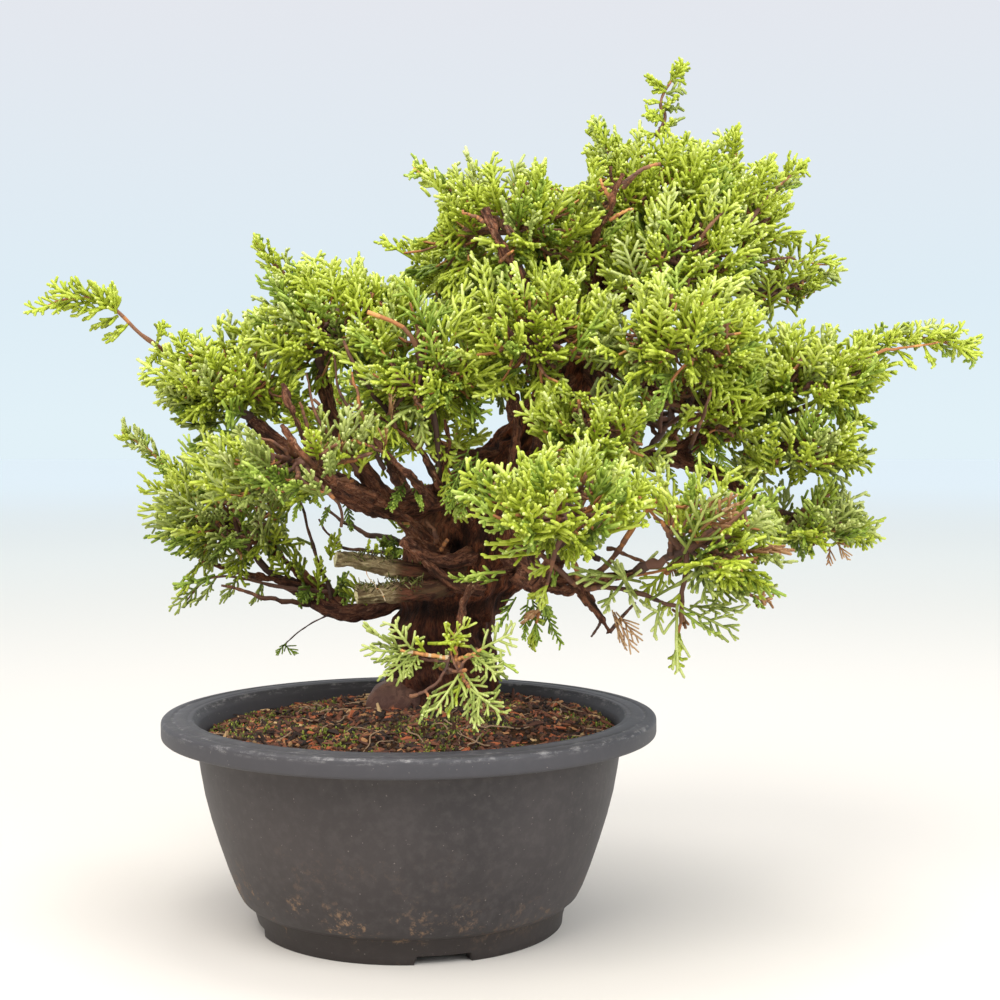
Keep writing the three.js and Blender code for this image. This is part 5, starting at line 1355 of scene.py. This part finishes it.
# Loose grains: how many, the sides of each, how rough, and the colours with their shares
chips = {
    "count": 2700, "sides": 4, "length": (1.4, 6.2), "look": "barkChip", "roughness": 0.85,
    "colours": [((112, 66, 44), 0.26), ((160, 86, 50), 0.15), ((78, 46, 32), 0.25), ((160, 114, 72), 0.08),
                ((44, 28, 20), 0.23), ((192, 158, 112), 0.03)],
}
grit = {
    "count": 2400, "sides": 5, "size": (0.5, 1.35), "look": "grit", "roughness": 0.9,
    "colours": [((52, 35, 24), 0.4), ((92, 64, 40), 0.25), ((36, 25, 19), 0.25), ((122, 94, 62), 0.1)],
}
moss = {
    "count": 4200, "sides": 4, "height": (0.7, 1.8), "look": "moss", "roughness": 0.8,
    "colours": [((82, 90, 26), 0.35), ((112, 122, 34), 0.3), ((144, 152, 56), 0.15), ((86, 74, 34), 0.2)],
}
rootlets = {"count": 60, "rings": 14, "sides": 5, "step": (0.9, 2.2), "radius": (0.2, 0.42)}


def soilHeight(x, y):
    # Edge height + rise to the mound's top, falling off smoothly round its shifted middle, + waves
    # sin x sin y that fade under the trunk and at the wall, + value noise + tilt x.
    rise = np.hypot(x - soil["mound"][0], y - soil["mound"][1])
    rise = 1 - smoothStep(soil["moundTop"], soil["moundFoot"], rise)
    fromTrunk = np.hypot(x - soil["trunkFoot"][0], y - soil["trunkFoot"][1])
    lumps = soil["wave"] * np.sin(x / 6.3 + 0.8) * np.sin(y / 5.4 - 0.4)
    lumps = lumps * smoothStep(*soil["fadeIn"], fromTrunk) * (1 - smoothStep(*soil["fadeOut"], np.hypot(x, y)))
    height = np.minimum(lerp(soil["edgeHeight"], soil["top"], rise) + lumps, soil["top"])
    place = np.stack([x, y, np.zeros_like(x)], axis=-1)
    height = height + 0.8 * (valueNoise(place, 5, 1) - 0.5) + 0.6 * (valueNoise(place, 2.2, 2) - 0.5)
    return height - soil["sunk"] + soil["tilt"] * x


def mossShare(x, y):  # how likely moss is: patches of value noise, mostly near the edge
    place = np.stack([x, y, np.zeros_like(x)], axis=-1)
    patch = valueNoise(place, 13, 8) * 0.7 + valueNoise(place, 5, 9) * 0.3
    return smoothStep(0.5, 0.62, patch + 0.12 * (np.hypot(x, y) / 80 - 0.6))


def soilPaint():
    paint = Paint("pottingSoil", Roughness=0.95, Specular_IOR_Level=0.15)
    place = paint.place()
    grains = paint.noise(place, 420, 4, 0.7)
    patches = paint.noise(place, 70, 4)
    colour = paint.mix(grains.ramp(0.35, 0.7), srgb(34, 22, 14), srgb(86, 56, 34))
    colour = paint.mix(patches.ramp(0.5, 0.68) * 0.6, colour, srgb(66, 58, 30))
    return paint.finish(colour, grains, 0.9, 0.0015)


def scatterOn(rng, number, edge):  # places spread evenly over the soil: radius = edge sqrt(chance)
    r, turn = edge * np.sqrt(rng.random(number)), rng.uniform(0, 2 * math.pi, number)
    x, y = r * np.cos(turn), r * np.sin(turn)
    return np.stack([x, y, soilHeight(x, y)], axis=1)


def makeSoil():
    # The body: rings up the pot's wall and then in to the middle, at (radius cos a, radius sin a, height).
    rng = np.random.default_rng(5)
    rings, sides = soil["rings"], soil["sides"]
    angle = 2 * math.pi * np.arange(sides) / sides
    radius = np.linspace(0.4, soil["edge"], rings)[::-1]
    radius = np.concatenate([soil["wallRadius"], radius])[:, None]
    x, y = radius * np.cos(angle), radius * np.sin(angle)
    wall = len(soil["wallRadius"])
    wallHeight = np.array(soil["wallHeight"])[:, None] * np.ones(sides)
    height = np.concatenate([wallHeight, soilHeight(x[wall:], y[wall:])])
    points = np.stack([x, y, height], axis=-1).reshape(-1, 3)
    count = len(points)
    poles = np.array([[0, 0, soil["floor"]], [0, 0, float(soilHeight(np.zeros(1), np.zeros(1))[0])]])
    faces = [ringFaces(rings + wall, sides), poleFaces(sides, count - sides, count, count + 1)]
    makePiece("pottingSoil", np.concatenate([points, poles]), faces, [soilPaint()], ["soil"])

    # Chips: little tapered bars with random turns
    n = chips["count"]
    spot = scatterOn(rng, n, soil["spread"])
    way = unit(np.stack([rng.normal(0, 1, n), rng.normal(0, 1, n), rng.normal(0, 0.28, n)], axis=1))
    length = rng.uniform(*chips["length"], n) * np.where(rng.random(n) < 0.10, 1.8, 1)
    t = np.array([-0.5, -0.1, 0.5])
    centres = (spot + [0, 0, 0.25])[:, None] + way[:, None] * length[:, None, None] * t[:, None]
    centres[:, 1] += rng.normal(0, 0.25, (n, 3))
    thick = rng.uniform(0.45, 1.3, n)[:, None, None] * np.array([0.7, 1.0, 0.55])[:, None]
    radii = thick * rng.uniform(0.55, 1.1, (n, 3, chips["sides"]))
    makeGrains("barkChips", centres, radii, chips["sides"], 0.4, chips, rng, smooth=False)

    # Grit: short lumps
    n = grit["count"]
    spot = scatterOn(rng, n, soil["spread"])
    size = rng.uniform(*grit["size"], n)[:, None]
    way = unit(rng.normal(0, 1, (n, 3)))
    t = np.array([-0.6, 0.0, 0.6])[:, None]
    centres = (spot + 0.25 * size * [0, 0, 1])[:, None] + way[:, None] * size[..., None] * t
    thick = size[..., None] * np.array([0.6, 1.0, 0.6])[:, None]
    radii = thick * rng.uniform(0.75, 1.15, (n, 3, grit["sides"]))
    makeGrains("soilGrit", centres, radii, grit["sides"], 0.5, grit, rng, smooth=False)

    # Moss: short upright shoots where the patches are
    spot = scatterOn(rng, moss["count"] * 5, soil["mossSpread"])
    chosen = np.flatnonzero(rng.random(len(spot)) < mossShare(spot[:, 0], spot[:, 1]))[:moss["count"]]
    spot, n = spot[chosen] - [0, 0, 0.2], len(chosen)
    lean = unit(np.stack([rng.normal(0, 0.5, n), rng.normal(0, 0.5, n), np.ones(n)], axis=1))
    tall = rng.uniform(*moss["height"], n)[:, None]
    centres = spot[:, None] + lean[:, None] * tall[..., None] * np.array([0, 0.6, 1.0])[:, None]
    makeGrains("moss", centres, tall * [0.22, 0.26, 0.1], moss["sides"], 0.5, moss, rng)

    # Rootlets: thin lines that wander over the soil
    n, rings = rootlets["count"], rootlets["rings"]
    spot = scatterOn(rng, n, soil["rootSpread"])
    turn = rng.uniform(0, 2 * math.pi, n)[:, None] + np.cumsum(rng.normal(0, 0.35, (n, rings)), axis=1)
    step = rng.uniform(*rootlets["step"], n)[:, None]
    x = spot[:, :1] + np.cumsum(step * np.cos(turn), axis=1)
    y = spot[:, 1:2] + np.cumsum(step * np.sin(turn), axis=1)
    inside = np.minimum(1, soil["rootEdge"] / np.hypot(x, y))
    x, y = x * inside, y * inside
    z = soilHeight(x, y) + 0.7 + 0.6 * np.sin(np.linspace(0, 5, rings))
    radii = rng.uniform(*rootlets["radius"], n)[:, None] * np.linspace(1, 0.6, rings)
    points, quads, tris = sweep(np.stack([x, y, z], axis=-1), radii, rootlets["sides"])
    look = plainLook("rootlet", srgb(150, 122, 94), 0.85)
    makePiece("rootlets", points, [quads, tris], [look])


makeSoil()
print("soil done")


# Floor and light
studio = {
    "floorHalf": 9.0, "near": (216, 210, 202), "middle": (240, 243, 238), "far": (224, 239, 247),
    "farGlow": (0.135, 0.135, 0.125, 1.0),
    "sky": [(0.0, (226, 241, 248)), (1.0, (240, 242, 244)), (0.07, (222, 237, 246)), (0.235, (228, 231, 238))],
    # name, place, the point it faces, diameter, power and colour of each light, in metres and watts
    "lights": [
        ("keyLight", (-0.42, -0.72, 1.1), (0, 0, 0.22), 1.0, 14.5, (1.0, 0.97, 0.92)),
        ("fillLight", (0.6, -0.62, 0.62), (0, 0, 0.22), 0.8, 5.5, (0.93, 0.97, 1.0)),
        ("topLight", (0.1, 0.2, 1.4), (0, 0, 0.2), 0.9, 8, (1.0, 1.0, 1.0)),
    ],
}


def makeFloor():
    mesh = bpy.data.meshes.new("floor")
    half = studio["floorHalf"]
    corners = [(-half, -half, 0), (half, -half, 0), (half, half, 0), (-half, half, 0)]
    mesh.from_pydata(corners, [], [(0, 1, 2, 3)])
    paint = Paint("paleFloor", Roughness=0.8, Specular_IOR_Level=0.1)
    away = paint.node("ShaderNodeVectorMath", {"operation": "LENGTH"}, {0: paint.place()}, output=1)
    colour = paint.mix(away.ramp(0.1, 2.2), srgb(*studio["near"]), srgb(*studio["middle"]))
    colour = paint.mix(away.ramp(1.2, 5.5), colour, srgb(*studio["far"]))
    glow = paint.mix(away.ramp(1.0, 5.5), (0.0, 0.0, 0.0, 1.0), studio["farGlow"])
    paint.feed(paint.shader, {"Base_Color": colour, "Emission_Color": glow, "Emission_Strength": 1.0})
    mesh.materials.append(paint.material)
    ground = bpy.data.objects.new("floor", mesh)
    bpy.context.scene.collection.objects.link(ground)


def makeBackdrop():  # its colour changes with height, and meets the floor's far colour at the horizon
    world = bpy.data.worlds.new("studio")
    world.use_nodes = True
    nodes, links = world.node_tree.nodes, world.node_tree.links
    kinds = ("TexCoord", "SeparateXYZ", "ValToRGB")
    direction, parts, ramp = (nodes.new(f"ShaderNode{kind}") for kind in kinds)
    links.new(direction.outputs["Generated"], parts.inputs[0])
    links.new(parts.outputs["Z"], ramp.inputs[0])
    links.new(ramp.outputs[0], nodes["Background"].inputs[0])
    for i, (at, colour) in enumerate(studio["sky"]):
        stop = ramp.color_ramp.elements[i] if i < 2 else ramp.color_ramp.elements.new(at)
        stop.position, stop.color = at, srgb(*colour)
    bpy.context.scene.world = world


def makeLights():
    for name, place, aim, size, power, colour in studio["lights"]:
        lamp = bpy.data.objects.new(name, bpy.data.lights.new(name, "AREA"))
        lamp.data.shape = "DISK"
        lamp.data.size, lamp.data.energy, lamp.data.color = size, power, colour
        lamp.location = place
        back = unit(np.array(place) - np.array(aim))
        lamp.rotation_euler = (math.acos(back[2]), 0, math.atan2(back[0], -back[1]))
        bpy.context.scene.collection.objects.link(lamp)


makeFloor()
makeBackdrop()
makeLights()
bpy.context.scene.view_settings.view_transform = "Standard"
